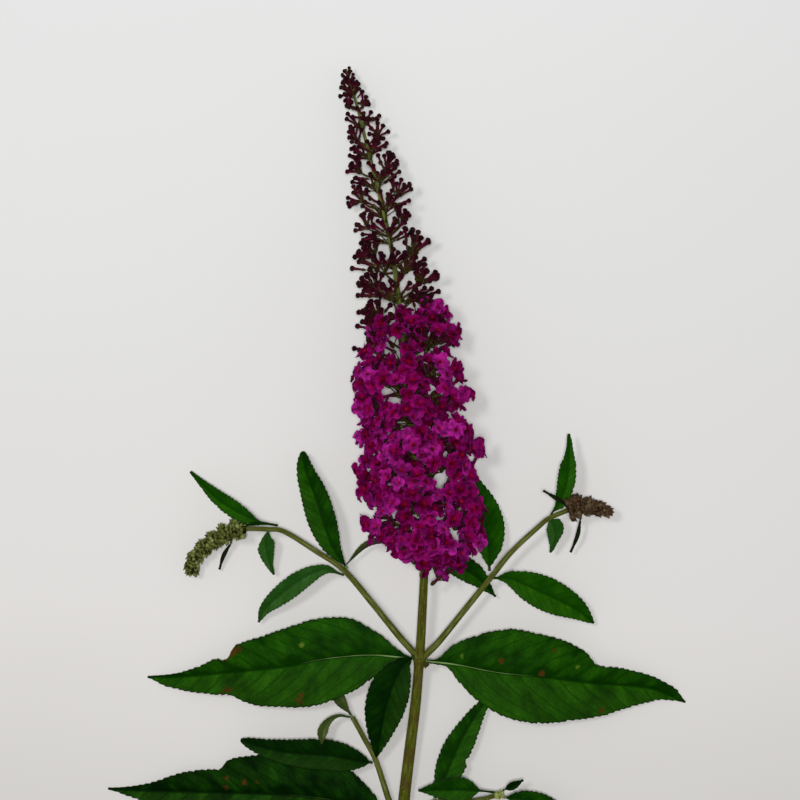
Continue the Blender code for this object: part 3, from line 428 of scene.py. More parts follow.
# %% [markdown]
# ## The outlines of the leaves
# A leaf of this shrub is long and pointed. Its table row holds the line of its
# midrib, how far its halves rise to the margin (rise), how far it is turned about
# the midrib (turn, in degrees), and its half widths: either the widest on each
# side, where that is and how blunt the tip is (left, right, peak, blunt), or, where
# the outline has notches and bites, an edge of rows (share of the length, left and
# right half width). The tone is that of its green.
# %% Leaf table
LEAVES = {
    "leaf_upper_left": dict(
        path=[(5.6, -68.0, 12.5), (-9.8, -66.5, 12.8), (-27.6, -67.9, 12.6),
        (-45.0, -71.3, 11.0), (-66.6, -73.9, 7.5), (-88.1, -76.2, 3.4), (-100.0, -76.5, 0.7)],
        rise=-0.10, edge=[(0.00, 0.8, 0.8), (0.05, 2.4, 3.2), (0.12, 8.0, 8.6),
        (0.21, 13.6, 14.8), (0.31, 16.9, 16.3), (0.41, 17.8, 15.5), (0.50, 16.2, 14.2),
        (0.59, 14.6, 12.2), (0.65, 12.2, 10.6), (0.69, 9.4, 5.4), (0.73, 8.8, 6.0),
        (0.79, 7.7, 3.9), (0.86, 6.0, 2.0), (0.93, 3.8, 1.0), (1.00, 0.5, 0.4)]),
    "leaf_upper_right": dict(
        path=[(11.6, -68.9, 12.8), (23.7, -70.3, 13.0), (40.4, -73.5, 12.6),
        (58.5, -75.4, 11.0), (77.0, -78.1, 7.5), (100.5, -80.6, 3.4), (115.5, -86.7, 0.7)],
        rise=-0.10, edge=[(0.00, 0.8, 0.8), (0.04, 1.6, 1.0), (0.08, 6.8, 1.8),
        (0.13, 10.9, 6.8), (0.20, 15.1, 11.8), (0.30, 17.9, 17.0), (0.41, 16.9, 19.0),
        (0.52, 15.0, 17.8), (0.59, 12.0, 15.6), (0.64, 7.6, 14.2), (0.73, 6.9, 10.9),
        (0.86, 4.9, 5.9), (0.95, 3.3, 1.8), (1.00, 0.4, 0.4)]),
    "leaf_base_left": dict(
        path=[(-1.7, -136.6, 4.3), (-9.9, -130.4, 5.2), (-19.9, -126.8, 5.6),
        (-30.6, -124.2, 5.6), (-46.5, -122.9, 5.0), (-69.7, -122.4, 3.6), (-102.2, -121.8, 1.6),
        (-115.6, -121.1, 0.7)], rise=-0.04, tone="patchy", edge=[(0.00, 0.8, 0.8),
        (0.05, 1.4, 1.4), (0.10, 5.5, 7.0), (0.18, 11.5, 12.7), (0.27, 15.5, 16.3),
        (0.41, 17.0, 17.0), (0.51, 15.5, 15.3), (0.55, 14.4, 14.6), (0.58, 13.8, 13.7),
        (0.60, 13.3, 12.2), (0.615, 13.0, 9.6), (0.66, 12.0, 9.3), (0.75, 9.0, 7.7),
        (0.85, 5.5, 3.6), (0.94, 2.4, 1.2), (1.00, 0.5, 0.4)]),
    "leaf_base_right": dict(
        path=[(4.9, -136.8, 4.3), (17.1, -140.0, 5.2), (33.0, -143.1, 5.4), (52.9, -146.1, 4.6),
        (81.0, -149.7, 2.6), (108.3, -151.3, 0.7)], left=16.0, right=15.0, peak=0.42,
        rise=-0.04),
    "leaf_node_hanging": dict(
        path=[(5.9, -67.2, 15.4), (2.0, -70.7, 16.0), (-2.5, -79.9, 15.6), (-5.7, -92.0, 13.6),
        (-8.2, -107.3, 10.8)], left=8.2, right=8.7, peak=0.43, rise=0.06, blunt=0.20,
        tone="deep"),
    "leaf_left_upright": dict(
        path=[(-20.2, -31.0, 16.3), (-25.1, -23.6, 16.8), (-28.7, -14.1, 16.6),
        (-32.2, -3.2, 15.0), (-35.9, 6.2, 12.0), (-37.3, 14.0, 9.5)], left=6.3, right=5.6,
        peak=0.47, rise=0.12, blunt=0.50),
    "leaf_left_lower": dict(
        path=[(-22.2, -34.4, 14.0), (-28.3, -32.3, 14.3), (-36.4, -35.4, 13.6),
        (-45.3, -41.9, 11.5), (-52.3, -48.3, 8.0), (-55.1, -54.3, 5.5)], left=4.7, right=3.9,
        peak=0.50, rise=0.25, blunt=0.25, tone="pale"),
    "leaf_left_far": dict(
        path=[(-53.9, -13.9, 14.2), (-61.0, -10.6, 14.2), (-69.0, -6.0, 12.6),
        (-75.5, -0.6, 10.5), (-82.0, 5.9, 8.0)], rise=0.15, tone="fresh",
        edge=[(0.00, 0.4, 0.5), (0.06, 1.2, 0.9), (0.12, 2.6, 1.8), (0.22, 3.5, 3.0),
        (0.35, 3.4, 3.6), (0.49, 2.9, 3.7), (0.62, 2.3, 3.1), (0.74, 1.6, 2.4),
        (0.90, 0.9, 1.2), (0.97, 0.7, 0.8), (1.00, 0.5, 0.5)]),
    "leaf_left_small": dict(
        path=[(-50.9, -17.9, 12.5), (-51.8, -21.4, 12.0), (-50.9, -27.9, 10.0),
        (-48.8, -35.3, 7.0)], rise=0.10, tone="pale", edge=[(0.00, 0.4, 0.4), (0.04, 1.2, 0.7),
        (0.10, 2.6, 1.2), (0.17, 3.5, 1.8), (0.28, 3.6, 3.0), (0.37, 3.3, 3.7),
        (0.47, 2.8, 3.4), (0.57, 2.3, 3.0), (0.77, 1.0, 1.9), (0.90, 0.7, 1.1),
        (1.00, 0.4, 0.4)]),
    "bract_left_top": dict(
        path=[(-59.4, -15.0, 15.2), (-53.0, -14.2, 17.2), (-46.7, -15.0, 17.6)], left=0.8,
        right=0.8, peak=0.4, rise=0.2),
    "bract_left_low": dict(
        path=[(-66.4, -23.4, 6.6), (-69.0, -27.8, 5.6), (-70.8, -33.4, 3.4)], left=0.9,
        right=0.9, peak=0.4, rise=0.2, tone="dusky"),
    "leaf_right_behind": dict(
        path=[(36.5, -31.6, 12.6), (36.3, -24.0, 10.4), (35.3, -16.0, 7.0), (33.4, -7.6, 4.0),
        (31.1, -0.1, 2.6), (28.7, 7.9, 2.0)], left=6.6, right=7.7, peak=0.42, rise=-0.04,
        tone="fresh"),
    "leaf_right_lower": dict(
        path=[(38.9, -36.0, 14.4), (44.9, -36.1, 14.8), (54.4, -40.2, 14.0),
        (64.4, -45.0, 11.5), (71.7, -49.0, 9.0), (78.4, -54.6, 6.0)], left=6.9, right=6.9,
        peak=0.47, rise=0.10, blunt=0.25, tone="fresh"),
    "leaf_right_upright": dict(
        path=[(61.2, -9.8, 16.4), (64.4, -4.6, 16.6), (66.8, 3.2, 16.6), (67.5, 11.8, 15.5),
        (67.9, 21.0, 12.5)], rise=0.12, tone="fresh", edge=[(0.00, 0.4, 0.4), (0.05, 0.6, 1.2),
        (0.10, 1.1, 2.5), (0.19, 2.5, 3.3), (0.30, 3.4, 3.6), (0.44, 4.0, 3.6),
        (0.58, 3.6, 3.3), (0.68, 2.3, 2.8), (0.79, 1.3, 1.9), (0.90, 0.9, 1.4),
        (0.97, 0.8, 0.7), (1.00, 0.5, 0.5)]),
    "leaf_right_small": dict(
        path=[(60.6, -13.0, 14.4), (62.0, -15.6, 13.6), (62.6, -20.3, 11.5),
        (60.7, -26.4, 8.5)], rise=0.15, tone="pale", edge=[(0.00, 1.0, 1.4), (0.08, 3.0, 2.6),
        (0.21, 3.7, 3.5), (0.37, 3.5, 3.6), (0.54, 1.9, 3.3), (0.75, 1.2, 1.9),
        (0.90, 1.0, 0.8), (1.00, 0.4, 0.4)]),
    "bract_right_top": dict(
        path=[(66.6, -6.9, 17.8), (61.9, -4.0, 19.8), (57.2, -1.2, 20.2)], left=1.0, right=1.0,
        peak=0.4, rise=0.2, tone="dusky"),
    "bract_right_low": dict(
        path=[(72.4, -13.6, 11.0), (71.4, -19.6, 9.6), (69.0, -26.4, 6.0)], left=0.9, right=0.9,
        peak=0.4, rise=0.2, tone="dusky"),
    "leaf_spike_left": dict(
        path=[(8.6, -24.6, 17.0), (1.2, -22.0, 14.4), (-5.1, -21.2, 12.6), (-12.6, -23.4, 10.8),
        (-20.0, -30.8, 8.0)], left=3.0, right=3.0, peak=0.5, rise=0.10, tone="young",
        turn=124.0),
    "leaf_spike_right": dict(
        path=[(13.0, -25.8, 17.6), (19.3, -28.4, 14.4), (25.3, -31.6, 11.0), (32.1, -36.3, 8.6),
        (39.3, -44.1, 5.6)], left=5.0, right=5.0, peak=0.48, rise=-0.08),
    "leaf_low_left": dict(
        path=[(-10.9, -109.4, 9.2), (-18.6, -107.9, 10.0), (-27.7, -106.2, 10.2),
        (-40.4, -105.5, 9.8), (-52.3, -103.6, 8.8), (-62.1, -100.6, 8.0)], left=6.5, right=6.5,
        peak=0.36, rise=0.06, blunt=0.50, tone="deep"),
    "leaf_tuft_up": dict(
        path=[(-18.3, -90.6, 8.0), (-21.4, -86.6, 7.0), (-24.2, -82.6, 6.0),
        (-27.4, -78.4, 4.8)], left=2.5, right=2.6, peak=0.55, rise=0.0, tone="young",
        turn=180.0),
    "leaf_tuft_down": dict(
        path=[(-18.4, -91.3, 10.0), (-23.3, -90.6, 10.9), (-27.5, -93.0, 11.4),
        (-29.6, -96.9, 11.7), (-29.7, -101.6, 12.0)], rise=0.2, tone="young",
        edge=[(0.00, 0.4, 0.4), (0.30, 0.8, 0.8), (0.55, 1.8, 1.5), (0.75, 2.4, 2.0),
        (0.90, 1.4, 1.2), (1.00, 0.3, 0.3)]),
    "leaf_low_right_upright": dict(
        path=[(15.2, -123.4, 9.2), (18.2, -117.1, 8.4), (21.0, -110.5, 7.8),
        (24.6, -102.6, 7.2), (28.6, -95.2, 6.4), (33.0, -88.6, 5.6), (39.8, -80.4, 4.4)],
        rise=0.06, edge=[(0.00, 0.5, 0.5), (0.05, 2.0, 2.2), (0.10, 3.4, 3.8), (0.20, 5.0, 5.8),
        (0.31, 5.8, 6.6), (0.335, 5.9, 6.4), (0.36, 6.0, 5.2), (0.40, 6.0, 5.9),
        (0.50, 5.4, 5.9), (0.60, 4.5, 5.2), (0.70, 3.6, 4.2), (0.80, 2.6, 2.9),
        (0.90, 1.4, 1.5), (1.00, 0.3, 0.3)]),
    "leaf_low_right_inner": dict(
        path=[(38.6, -121.0, 10.8), (31.6, -120.1, 11.2), (24.1, -119.7, 11.4),
        (15.4, -119.8, 11.2), (8.3, -120.2, 10.8)], rise=0.05, edge=[(0.00, 0.5, 0.5),
        (0.20, 0.5, 0.5), (0.25, 2.2, 2.2), (0.32, 4.1, 4.1), (0.45, 5.0, 5.2),
        (0.62, 4.7, 4.8), (0.78, 3.2, 3.3), (0.90, 1.6, 1.6), (1.00, 0.4, 0.4)]),
    "leaf_low_right_outer": dict(
        path=[(43.4, -123.4, 9.0), (48.9, -123.6, 9.8), (56.6, -125.9, 9.4),
        (64.6, -129.9, 8.0), (72.0, -135.6, 5.8)], left=4.8, right=4.6, peak=0.42, rise=0.12),
    "leaf_tuft_right": dict(
        path=[(42.9, -119.7, 10.6), (46.2, -117.9, 11.6), (49.9, -115.8, 12.0)], left=1.7,
        right=1.7, peak=0.4, rise=0.2, tone="deep"),
}
print("leaves and bracts in the table:", len(LEAVES))


# %% Half width of a leaf
def half_width(leaf, share, side):
    """Half width of a blade at a share of its length; side is negative on the left."""
    if "edge" in leaf:
        return max(between_rows(leaf["edge"], share, 1 if side < 0 else 2), 0.3)
    widest = leaf["left"] if side < 0 else leaf["right"]
    bend = math.log(0.5) / math.log(leaf["peak"])
    swell = math.sin(math.pi * min(share, 1.0) ** bend)
    swell = max(swell, 0.0) ** (1.0 - leaf.get("blunt", 0.0) * share)
    return max(widest * swell, 0.5)


print("widest left half of the leaf left of the node:",
      half_width(LEAVES["leaf_upper_left"], 0.41, -1), "mm")

# %% [markdown]
# ## Teeth, side veins and puckers
# The margin has small forward teeth, and the blade is slightly puckered between
# sunken side veins that curve to the tip. A flat picture of a leaf would lose both
# as soon as the view turns, so they are rules for moving the points of a grid. The
# vein count also goes into the "own" layer, so that colour and relief agree.
# %% Rules for one point of a blade
TOOTH_PITCH = 2.5                      # mm between teeth on the large leaves
TOOTH_DEPTH = 0.75


def tooth_cut(share, teeth, across, half, seed):
    """How far the margin is cut back at each tooth, as a part of the full depth."""
    number = share * teeth
    uneven = noise.noise(Vector((math.floor(number) * 0.77, seed, math.copysign(3, across))))
    return (1.0 - number % 1.0) * min(half / 3, 1.0) * (0.75 + 0.5 * uneven)


def vein_count(along, side, spacing):
    """How many side veins lie between the leaf's foot and this place. A vein runs where
    the count passes a half, leans forward, and alternates from side to side."""
    reach = abs(side)
    count = (along - 0.95 * reach - 0.045 * reach * reach) / spacing
    return count + (0.5 if side < 0 else 0.0) + 20.0


def blade_height(across, side, along, veins, half, sunk, seed):
    """Swells between the side veins, sinks at the rib and waves to the margin."""
    pucker = math.sin(math.pi * (veins - 0.5)) ** 2 * (1 - abs(across) ** 4)
    pucker *= 0.022 * min(half, 7.0) * min(abs(side) / 2.0, 1.0)
    groove = 0.3 * math.exp(-(side / 0.75) ** 2) + 0.7 * math.exp(-(side / 3.2) ** 2)
    wave = noise.noise(Vector((along / 13, math.copysign(2, across), seed))) * abs(across) ** 2
    return pucker - sunk * groove + wave * 0.10 * min(half, 9.0)


print("side veins, at 8 mm, from foot to tip of a 100 mm leaf:", vein_count(100, 0, 8) - 20)

# %% [markdown]
# ## A blade and its rib
# The blade is a grid that is given its width, its teeth and its height, then bent
# along the midrib and made as thick as a leaf. Small leaves have finer teeth and
# closer veins. The underside takes the second paint. The rib is a rod of its own,
# sunk until only a thin line of it shows, and it runs on as the stalk into the
# stem. Drawn by paint alone, it would vanish in a view from the side.
# %% Shape a blade
BLADE_THICKNESS = 0.34                 # mm
ABOVE_PAPER = 0.42                     # mm, the least height of a blade's upper side


def shape_blade(name, leaf, path, widest, sunk):
    seed = float(sum(map(ord, name)))
    teeth = round(path.length / min(TOOTH_PITCH, 1.3 + 0.12 * widest))
    depth = TOOTH_DEPTH * min(0.55 + widest / 16, 1.0)
    spacing = clamp(0.52 * widest, 2.4, 8.6)
    shape = new_shape()
    own = shape.verts.layers.float_vector["own"]
    margin = shape.verts.layers.float.new("margin")
    bmesh.ops.create_grid(shape, x_segments=2 * max(4, round(widest / 0.85)),
                          y_segments=5 * teeth, size=1.0)
    # the sign set here chooses which half of the blade takes the skin's painted fold shade
    upper = 1.0 if path.headings[len(path.headings) // 2].x < 0 else -1.0
    for vert in shape.verts:
        across, share = vert.co.x, (vert.co.y + 1) / 2
        half = half_width(leaf, share, across)
        along = share * path.length
        cut = depth * tooth_cut(share, teeth, across, half, seed) * abs(across) ** 6
        side = across * half - math.copysign(cut, across)
        veins = vein_count(along, side, spacing)
        height = (leaf["rise"] * abs(across) * half
                  + blade_height(across, side, along, veins, half, sunk, seed))
        vert[own] = Vector((side * upper, along, veins))
        vert[margin] = (1 - abs(across)) * half
        vert.co = path.frame(share, leaf.get("turn", 0.0)) @ Vector((side, 0.0, height))
        vert.co.z = max(vert.co.z, ABOVE_PAPER)
    top = shape.faces[:]
    bmesh.ops.solidify(shape, geom=top, thickness=BLADE_THICKNESS * min(0.6 + widest / 20, 1.0))
    above = set(top)
    for face in shape.faces:
        face.material_index = 0 if face in above else 1
    return shape


print("teeth on a 100 mm leaf:", round(100 / TOOTH_PITCH))


# %% Rib and stalk
LARGE = 12.0                           # mm, half width from which the rib shows


def add_rib(shape, leaf, widest, sunk):
    """Adds the midrib and stalk: its back shows on large leaves and is buried on small."""
    blade = set(shape.faces)
    stout = 0.56 * min(0.5 + widest / 16, 1.0)
    shows = 0.18 if widest > LARGE else -0.08
    rib = add_rod(shape, Path(rooted(leaf["path"], 1.4)),
                  lambda share, turn: max(stout * (1 - share) ** 0.7, 0.12),
                  8, 1.6, sunk + stout - shows)
    for vert in rib:
        vert.co.z = max(vert.co.z, 0.1)
    for face in shape.faces:
        if face not in blade:
            face.material_index = 2


def make_blade(name, leaf, paints):
    path = Path(leaf["path"])
    widest = max(half_width(leaf, step / 20, side) for step in range(21) for side in (-1, 1))
    sunk = min(0.065 * widest, 1.1)    # how deep the rib lies below the blade
    shape = shape_blade(name, leaf, path, widest, sunk)
    add_rib(shape, leaf, widest, sunk)
    piece(shape, name + "_blade", paints, "leaf_green", name)


large = [name for name, leaf in LEAVES.items() if half_width(leaf, 0.4, 1) > LARGE]
print("leaves whose rib shows:", ", ".join(large))

# %% [markdown]
# ## The skin of a leaf
# The upper side is a waxy deep green skin over a net of veins. It gives the eye a
# very soft sheen, darker sunken veins and cloudy light and dark patches. Each
# step below is one of those: clouds, a painted shade beside the fold with a
# painted lighter, greyer half, the side veins and the fine net. Five greens make a
# tone: dark, mid and light cloud, vein and rim.
# %% Clouds and veins of a leaf
def leaf_clouds(tree, parts):
    """Patches 8 mm across that are drawn out a little along the side veins."""
    reach = add(tree, "Math", {0: parts.outputs["X"]}, operation="ABSOLUTE")
    slant = add(tree, "Math", {0: reach, 1: -0.5, 2: parts.outputs["Y"]},
                operation="MULTIPLY_ADD")
    across = add(tree, "Math", {0: parts.outputs["X"], 1: 0.85}, operation="MULTIPLY")
    flat = add(tree, "CombineXYZ", {"X": across, "Y": slant})
    clouds = add(tree, "TexNoise", {"Vector": flat, "Scale": 1 / 8.333, "Detail": 6.0,
                                    "Roughness": 0.55})
    return reach, flat, clouds


def green_with_painted_fold_shade(tree, parts, clouds, greens):
    """Painted shade and light: the upper half is painted darker beside the rib, as the
    fold would shade it; the lower half is painted lighter, with a greyer painted sheen."""
    # a grey ramp across the blade: painted shade beside the rib on the upper half
    place = add(tree, "MapRange", {"Value": parts.outputs["X"], "From Min": -8.0,
                                   "From Max": 8.0})
    fold = add(tree, "ValToRGB", {"Fac": place},
               [(0.0, "#7A7A7A"), (0.46, "#8E8E8E"), (0.53, "#3A3A3A"), (0.80, "#6C6C6C"),
                (1.0, "#787878")])
    tone = add(tree, "MapRange", {"Value": fold, "To Min": -0.26, "To Max": 0.68})
    cloudy = add(tree, "Math", {0: clouds, 1: tone}, operation="ADD")
    green = add(tree, "ValToRGB", {"Fac": cloudy},
                [(0.28, greens[0]), (0.50, greens[1]), (0.74, greens[2])])
    # the lower half is mixed toward a greyer green as a painted sheen
    painted_sheen_half = add(tree, "MapRange", {"Value": parts.outputs["X"], "From Min": 0.0,
                                       "From Max": -4.0, "To Max": 0.15})
    return add(tree, "Mix", {0: painted_sheen_half, 6: green, 7: "#38581E"}, data_type="RGBA")


def side_veins_and_shade(tree, parts, clouds):
    """A line wherever the vein count passes a half; it wanders and fades. Its darkness
    is partly the vein's own colour and partly painted shade of the sunken vein.
    """
    wander = add(tree, "Math", {0: clouds, 1: 0.5, 2: parts.outputs["Z"]},
                 operation="MULTIPLY_ADD")
    beat = add(tree, "Math", {0: wander}, operation="FRACT")
    off = add(tree, "Math", {0: beat, 1: 0.5}, operation="SUBTRACT")
    off = add(tree, "Math", {0: off}, operation="ABSOLUTE")
    fading = add(tree, "Math", {0: clouds, 1: 0.95}, operation="MULTIPLY")
    return add(tree, "MapRange", {"Value": off, "From Min": 0.0, "From Max": 0.12,
                                  "To Min": fading, "To Max": 0.0})


print("a leaf's colour starts from", leaf_clouds.__name__, "and", green_with_painted_fold_shade.__name__)

# %% [markdown]
# ## Dead spots
# This branch has dead brown spots and a few yellowed ones. Each is listed (x, y
# and radius in mm, and colour) and given a ragged edge by a fine noise. They
# could be painted on an image, but a material that reads the place needs none.
# %% Dead spots
BROWN, RUSTY, YELLOWED = "#44260E", "#4E2C0E", "#56701E"
SPECKS = {
    "leaf_upper_left": [(-67.0, -81.3, 1.5, BROWN), (-69.4, -82.2, 0.9, BROWN),
                        (-38.6, -84.7, 1.4, RUSTY), (-37.8, -82.6, 0.9, RUSTY),
                        (-37.4, -62.4, 1.0, YELLOWED), (-67.6, -68.2, 1.3, BROWN),
                        (-65.4, -66.0, 1.5, RUSTY), (-62.8, -64.4, 1.1, BROWN)],
    "leaf_upper_right": [(41.3, -69.2, 1.2, RUSTY), (62.2, -65.0, 0.9, BROWN),
                         (57.2, -74.0, 1.2, RUSTY), (81.2, -89.2, 1.1, BROWN),
                         (71.5, -71.5, 0.9, YELLOWED), (25.6, -66.8, 0.9, YELLOWED)],
    "leaf_base_left": [(-68.3, -119.9, 1.1, BROWN), (-60.8, -117.9, 1.0, RUSTY),
                       (-55.6, -117.9, 0.8, BROWN), (-68.0, -116.4, 0.9, RUSTY),
                       (-82.0, -127.0, 1.1, RUSTY), (-32.0, -126.0, 1.0, BROWN)],
}


def dead_spots(tree, colour, specks):
    place = add(tree, "TexCoord").outputs["Object"]
    ragged = add(tree, "TexNoise", {"Vector": place, "Scale": 1 / (1.613 * MM), "Detail": 3.0})
    for x, y, radius, dead in specks:
        centre = ((x + SHIFT.x) * MM, (y + SHIFT.y) * MM, 0.0)
        level = add(tree, "VectorMath", {0: place, 1: (1.0, 1.0, 0.0)}, operation="MULTIPLY")
        gap = add(tree, "VectorMath", {0: level, 1: centre}, operation="DISTANCE")
        rough = add(tree, "Math", {0: ragged, 1: 3.4 * radius * MM, 2: gap},
                    operation="MULTIPLY_ADD")
        mask = add(tree, "MapRange", {"Value": rough, "From Min": 2.0 * radius * MM,
                                      "From Max": 3.0 * radius * MM, "To Min": 0.8,
                                      "To Max": 0.0})
        colour = add(tree, "Mix", {0: mask, 6: colour, 7: dead}, data_type="RGBA")
    return colour


print("dead spots:", sum(len(specks) for specks in SPECKS.values()))

# %% [markdown]
# ## The whole skin
# The steps come together in one paint: cloudy green, then the lines laid over it
# one by one, each a mask from 0 to 1, then the dead spots. The same net and clouds
# raise the relief. Seven tones are enough for all the leaves, from the shaded deep
# ones to the dull bracts.
# %% Leaf skin
TONES = {
    "deep": ("#031C00", "#0A2E01", "#1E4A04", "#021600", "#0A1A02"),
    "patchy": ("#021600", "#103602", "#2A560A", "#021600", "#0A1A02"),
    "middle": ("#092C00", "#1B4A02", "#2C600A", "#062600", "#0C1E04"),
    "fresh": ("#103C00", "#205202", "#326A0A", "#0C3200", "#123004"),
    "pale": ("#1C4410", "#2E5620", "#48703C", "#1A3C0E", "#1C3A10"),
    "young": ("#2E3A16", "#4A5828", "#667440", "#303E18", "#303A1A"),
    "dusky": ("#10160A", "#202A14", "#3A4824", "#141C0C", "#141C0C"),
}


def leaf_paint(name, greens, specks=()):
    made, tree, shader = start_paint(name, Roughness=0.5, Specular_IOR_Level=0.012)
    own = add(tree, "Attribute", attribute_name="own").outputs["Vector"]
    parts = add(tree, "SeparateXYZ", {0: own})
    reach, flat, clouds = leaf_clouds(tree, parts)
    colour = green_with_painted_fold_shade(tree, parts, clouds, greens)
    # the finest net has meshes of 1.2 mm
    net = add(tree, "TexVoronoi", {"Vector": flat, "Scale": 1 / 1.176},
              feature="DISTANCE_TO_EDGE")
    netted = add(tree, "MapRange", {"Value": net, "From Min": 0.0, "From Max": 0.12,
                                    "To Min": 0.34, "To Max": 0.0})
    # a dark band along the midrib: painted shade of the groove it lies in
    rib = add(tree, "MapRange", {"Value": reach, "From Min": 0.30, "From Max": 0.80,
                                 "To Min": 0.75, "To Max": 0.0})
    margin = add(tree, "Attribute", attribute_name="margin").outputs["Fac"]
    rim = add(tree, "MapRange", {"Value": margin, "From Min": 0.1, "From Max": 0.9,
                                 "To Min": 0.75, "To Max": 0.0})
    lines = ((side_veins_and_shade(tree, parts, clouds), 3), (netted, 3), (rib, 3), (rim, 4))
    for mask, shade in lines:
        colour = add(tree, "Mix", {0: mask, 6: colour, 7: greens[shade]}, data_type="RGBA")
    if specks:
        colour = dead_spots(tree, colour, specks)
    relief = add(tree, "Math", {0: net, 1: 0.5, 2: clouds}, operation="MULTIPLY_ADD")
    finish_paint(tree, shader, colour, relief, 0.6, 0.5)
    return made


SKINS = {tone: leaf_paint("leaf_skin_" + tone, greens) for tone, greens in TONES.items()}
print("leaf skins:", ", ".join(SKINS))

# %% [markdown]
# ## Underside and stalk
# Below, a leaf is felted with short grey-green hairs and dull from every side. A
# real coat of hairs would take more triangles than the plant, so a fine noise in
# colour and relief stands for it, with a little sheen. Stalks are thin stems, so
# they take the bark's paint in greener shades.
# %% Felt and stalks
def felt_paint(name, shades):
    made, tree, shader = start_paint(name, Roughness=0.9, Specular_IOR_Level=0.08,
                                     Sheen_Weight=0.15)
    place = add(tree, "TexCoord").outputs["Object"]
    fluff = add(tree, "TexNoise", {"Vector": place, "Scale": 1 / (1.429 * MM), "Detail": 4.0})
    shade = add(tree, "ValToRGB", {"Fac": fluff}, [(0.35, shades[0]), (0.65, shades[1])])
    finish_paint(tree, shader, shade, fluff, 0.4, 0.2)
    return made


LEAF_FELT = felt_paint("leaf_felt", ("#3E4F24", "#5B6B40"))
LEAF_STALK = stem_paint("leaf_stalk", ("#3E5222", "#5E7640", "#7E9460"), "#5A5A30", 0.02)
DARK_STALK = stem_paint("dark_leaf_stalk", ("#16280A", "#22380E", "#344C1C"), "#30401A", 0.02)
print("paints below the leaves:", LEAF_FELT.name, LEAF_STALK.name, DARK_STALK.name)

# %% [markdown]
# ## All the leaves
# Every leaf is made from its row. Three have dead spots, so they get a skin of
# their own. A pale rib shows on the large and on the youngest leaves.
# %% Make the leaves
for name, leaf in LEAVES.items():
    tone = leaf.get("tone", "middle")
    skin = SKINS[tone]
    if name in SPECKS:
        skin = leaf_paint(name.replace("leaf", "leaf_skin"), TONES[tone], SPECKS[name])
    stalk = LEAF_STALK if tone in ("middle", "young") else DARK_STALK
    make_blade(name, leaf, [skin, LEAF_FELT, stalk])

# %% [markdown]
# ## The axis of the flower head
# The stem runs on into the panicle. The plain solids there are four masses; here
# they become a thin axis with twigs, buds and flowers, grown by one rule: rows
# that stand on the axis, lean to its tip and reach as far as the real ones do on
# each side. Where the branch shows the paper between its twigs, nothing fills the
# gap.
# %% Axis and its oval
RACHIS = [
    (10.9, -23.4, 18.8), (10.4, -14.7, 20.0), (9.4, -4.9, 21.0), (7.8, 6.9, 21.8),
    (6.3, 18.6, 22.0), (4.7, 30.3, 21.8), (3.3, 42.0, 21.2), (2.2, 53.7, 20.3),
    (0.8, 72.6, 18.3), (-2.3, 94.7, 15.7), (-7.1, 115.8, 13.2), (-12.2, 136.2, 10.8),
    (-15.8, 150.6, 9.4), (-20.4, 165.4, 8.2),
]
AXIS_FOOT, AXIS_TIP = 1.40, 0.45       # mm, radius at the two ends
AXIS = Path(RACHIS, 6)
AXIS_Y = [point.y for point in AXIS.points]


def axis_frame(y):
    """Frame on the axis at y; below its foot it runs straight on along the stem."""
    index, t = segment(AXIS_Y, y)
    mark = AXIS.marks[index] + (AXIS.marks[index + 1] - AXIS.marks[index]) * t
    on_axis = AXIS.frame(mark / AXIS.length)
    return on_axis @ Matrix.Translation((0.0, min(y - AXIS_Y[0], 0.0), 0.0))


def around(turn, left, right, below):
    """Offset from the axis at a turn (0 right, 90 up): an oval as wide as the reach
    to each side, and no deeper than the room below."""
    side = right if math.cos(turn) > 0 else left
    upright = (left + right) / 2
    if math.sin(turn) < 0:
        upright = min(upright, below)
    return Vector((side * math.cos(turn), 0.0, upright * math.sin(turn)))


print("axis length:", round(AXIS.length, 1), "mm")

# %% [markdown]
# ## Small parts from a lathe
# Buds, flower tubes, calyces and knobs are all round. Each is turned once from a
# few profile points and copied to its places, and its "own" layer keeps how far
# along it each point lies and a shade dealt to that copy. A particle system would
# scatter them faster, but not on the measured reach, and it wouldn't export.
# %% Turn a template
def turned(profile, sides):
    """Turns (radius, height) points about Z."""
    shape = new_shape()
    own = shape.verts.layers.float_vector["own"]
    verts = [shape.verts.new((radius, 0.0, height)) for radius, height in profile]
    edges = [shape.edges.new(pair) for pair in zip(verts, verts[1:])]
    for index, vert in enumerate(verts):
        vert[own] = (index / (len(profile) - 1), 0.0, 0.0)
    bmesh.ops.spin(shape, geom=verts + edges, axis=(0, 0, 1), cent=(0, 0, 0), steps=sides,
                   angle=math.tau, use_merge=True)
    bmesh.ops.remove_doubles(shape, verts=shape.verts, dist=0.001)
    bmesh.ops.recalc_face_normals(shape, faces=shape.faces)
    return shape


def template(shape, name):
    """Keeps a shape as a mesh to copy from."""
    mesh = bpy.data.meshes.new(name)
    shape.to_mesh(mesh)
    shape.free()
    return mesh


TWIG = template(turned([(0.0, 0.0), (1.0, 0.0), (0.82, 1.0), (0.0, 1.0)], 5), "twig")
# a bud: slim tube that widens to a round head, drawn from its foot
BUD_LENGTH = 6.5                       # mm
BUD = template(turned([(0.0, 0.0), (0.38, 0.1), (0.46, 1.8), (0.56, 3.6), (0.64, 4.5),
                       (1.10, 5.1), (1.10, 5.9), (0.0, BUD_LENGTH)], 7), "bud")
CALYX = template(turned([(0.0, -0.1), (0.55, 0.0), (0.86, 0.9), (0.90, 2.0), (0.62, 2.1),
                         (0.0, 1.7)], 7), "calyx")
# a young bud of the side spikes: a felted cup with a dry tip
KNOB = template(turned([(0.0, -0.5), (0.62, 0.0), (1.05, 0.8), (1.08, 1.5), (0.66, 2.1),
                        (0.30, 2.2), (0.26, 2.9), (0.0, 3.0)], 8), "knob")
for made in (TWIG, BUD, CALYX, KNOB):
    print(made.name, "has", len(made.polygons), "faces")

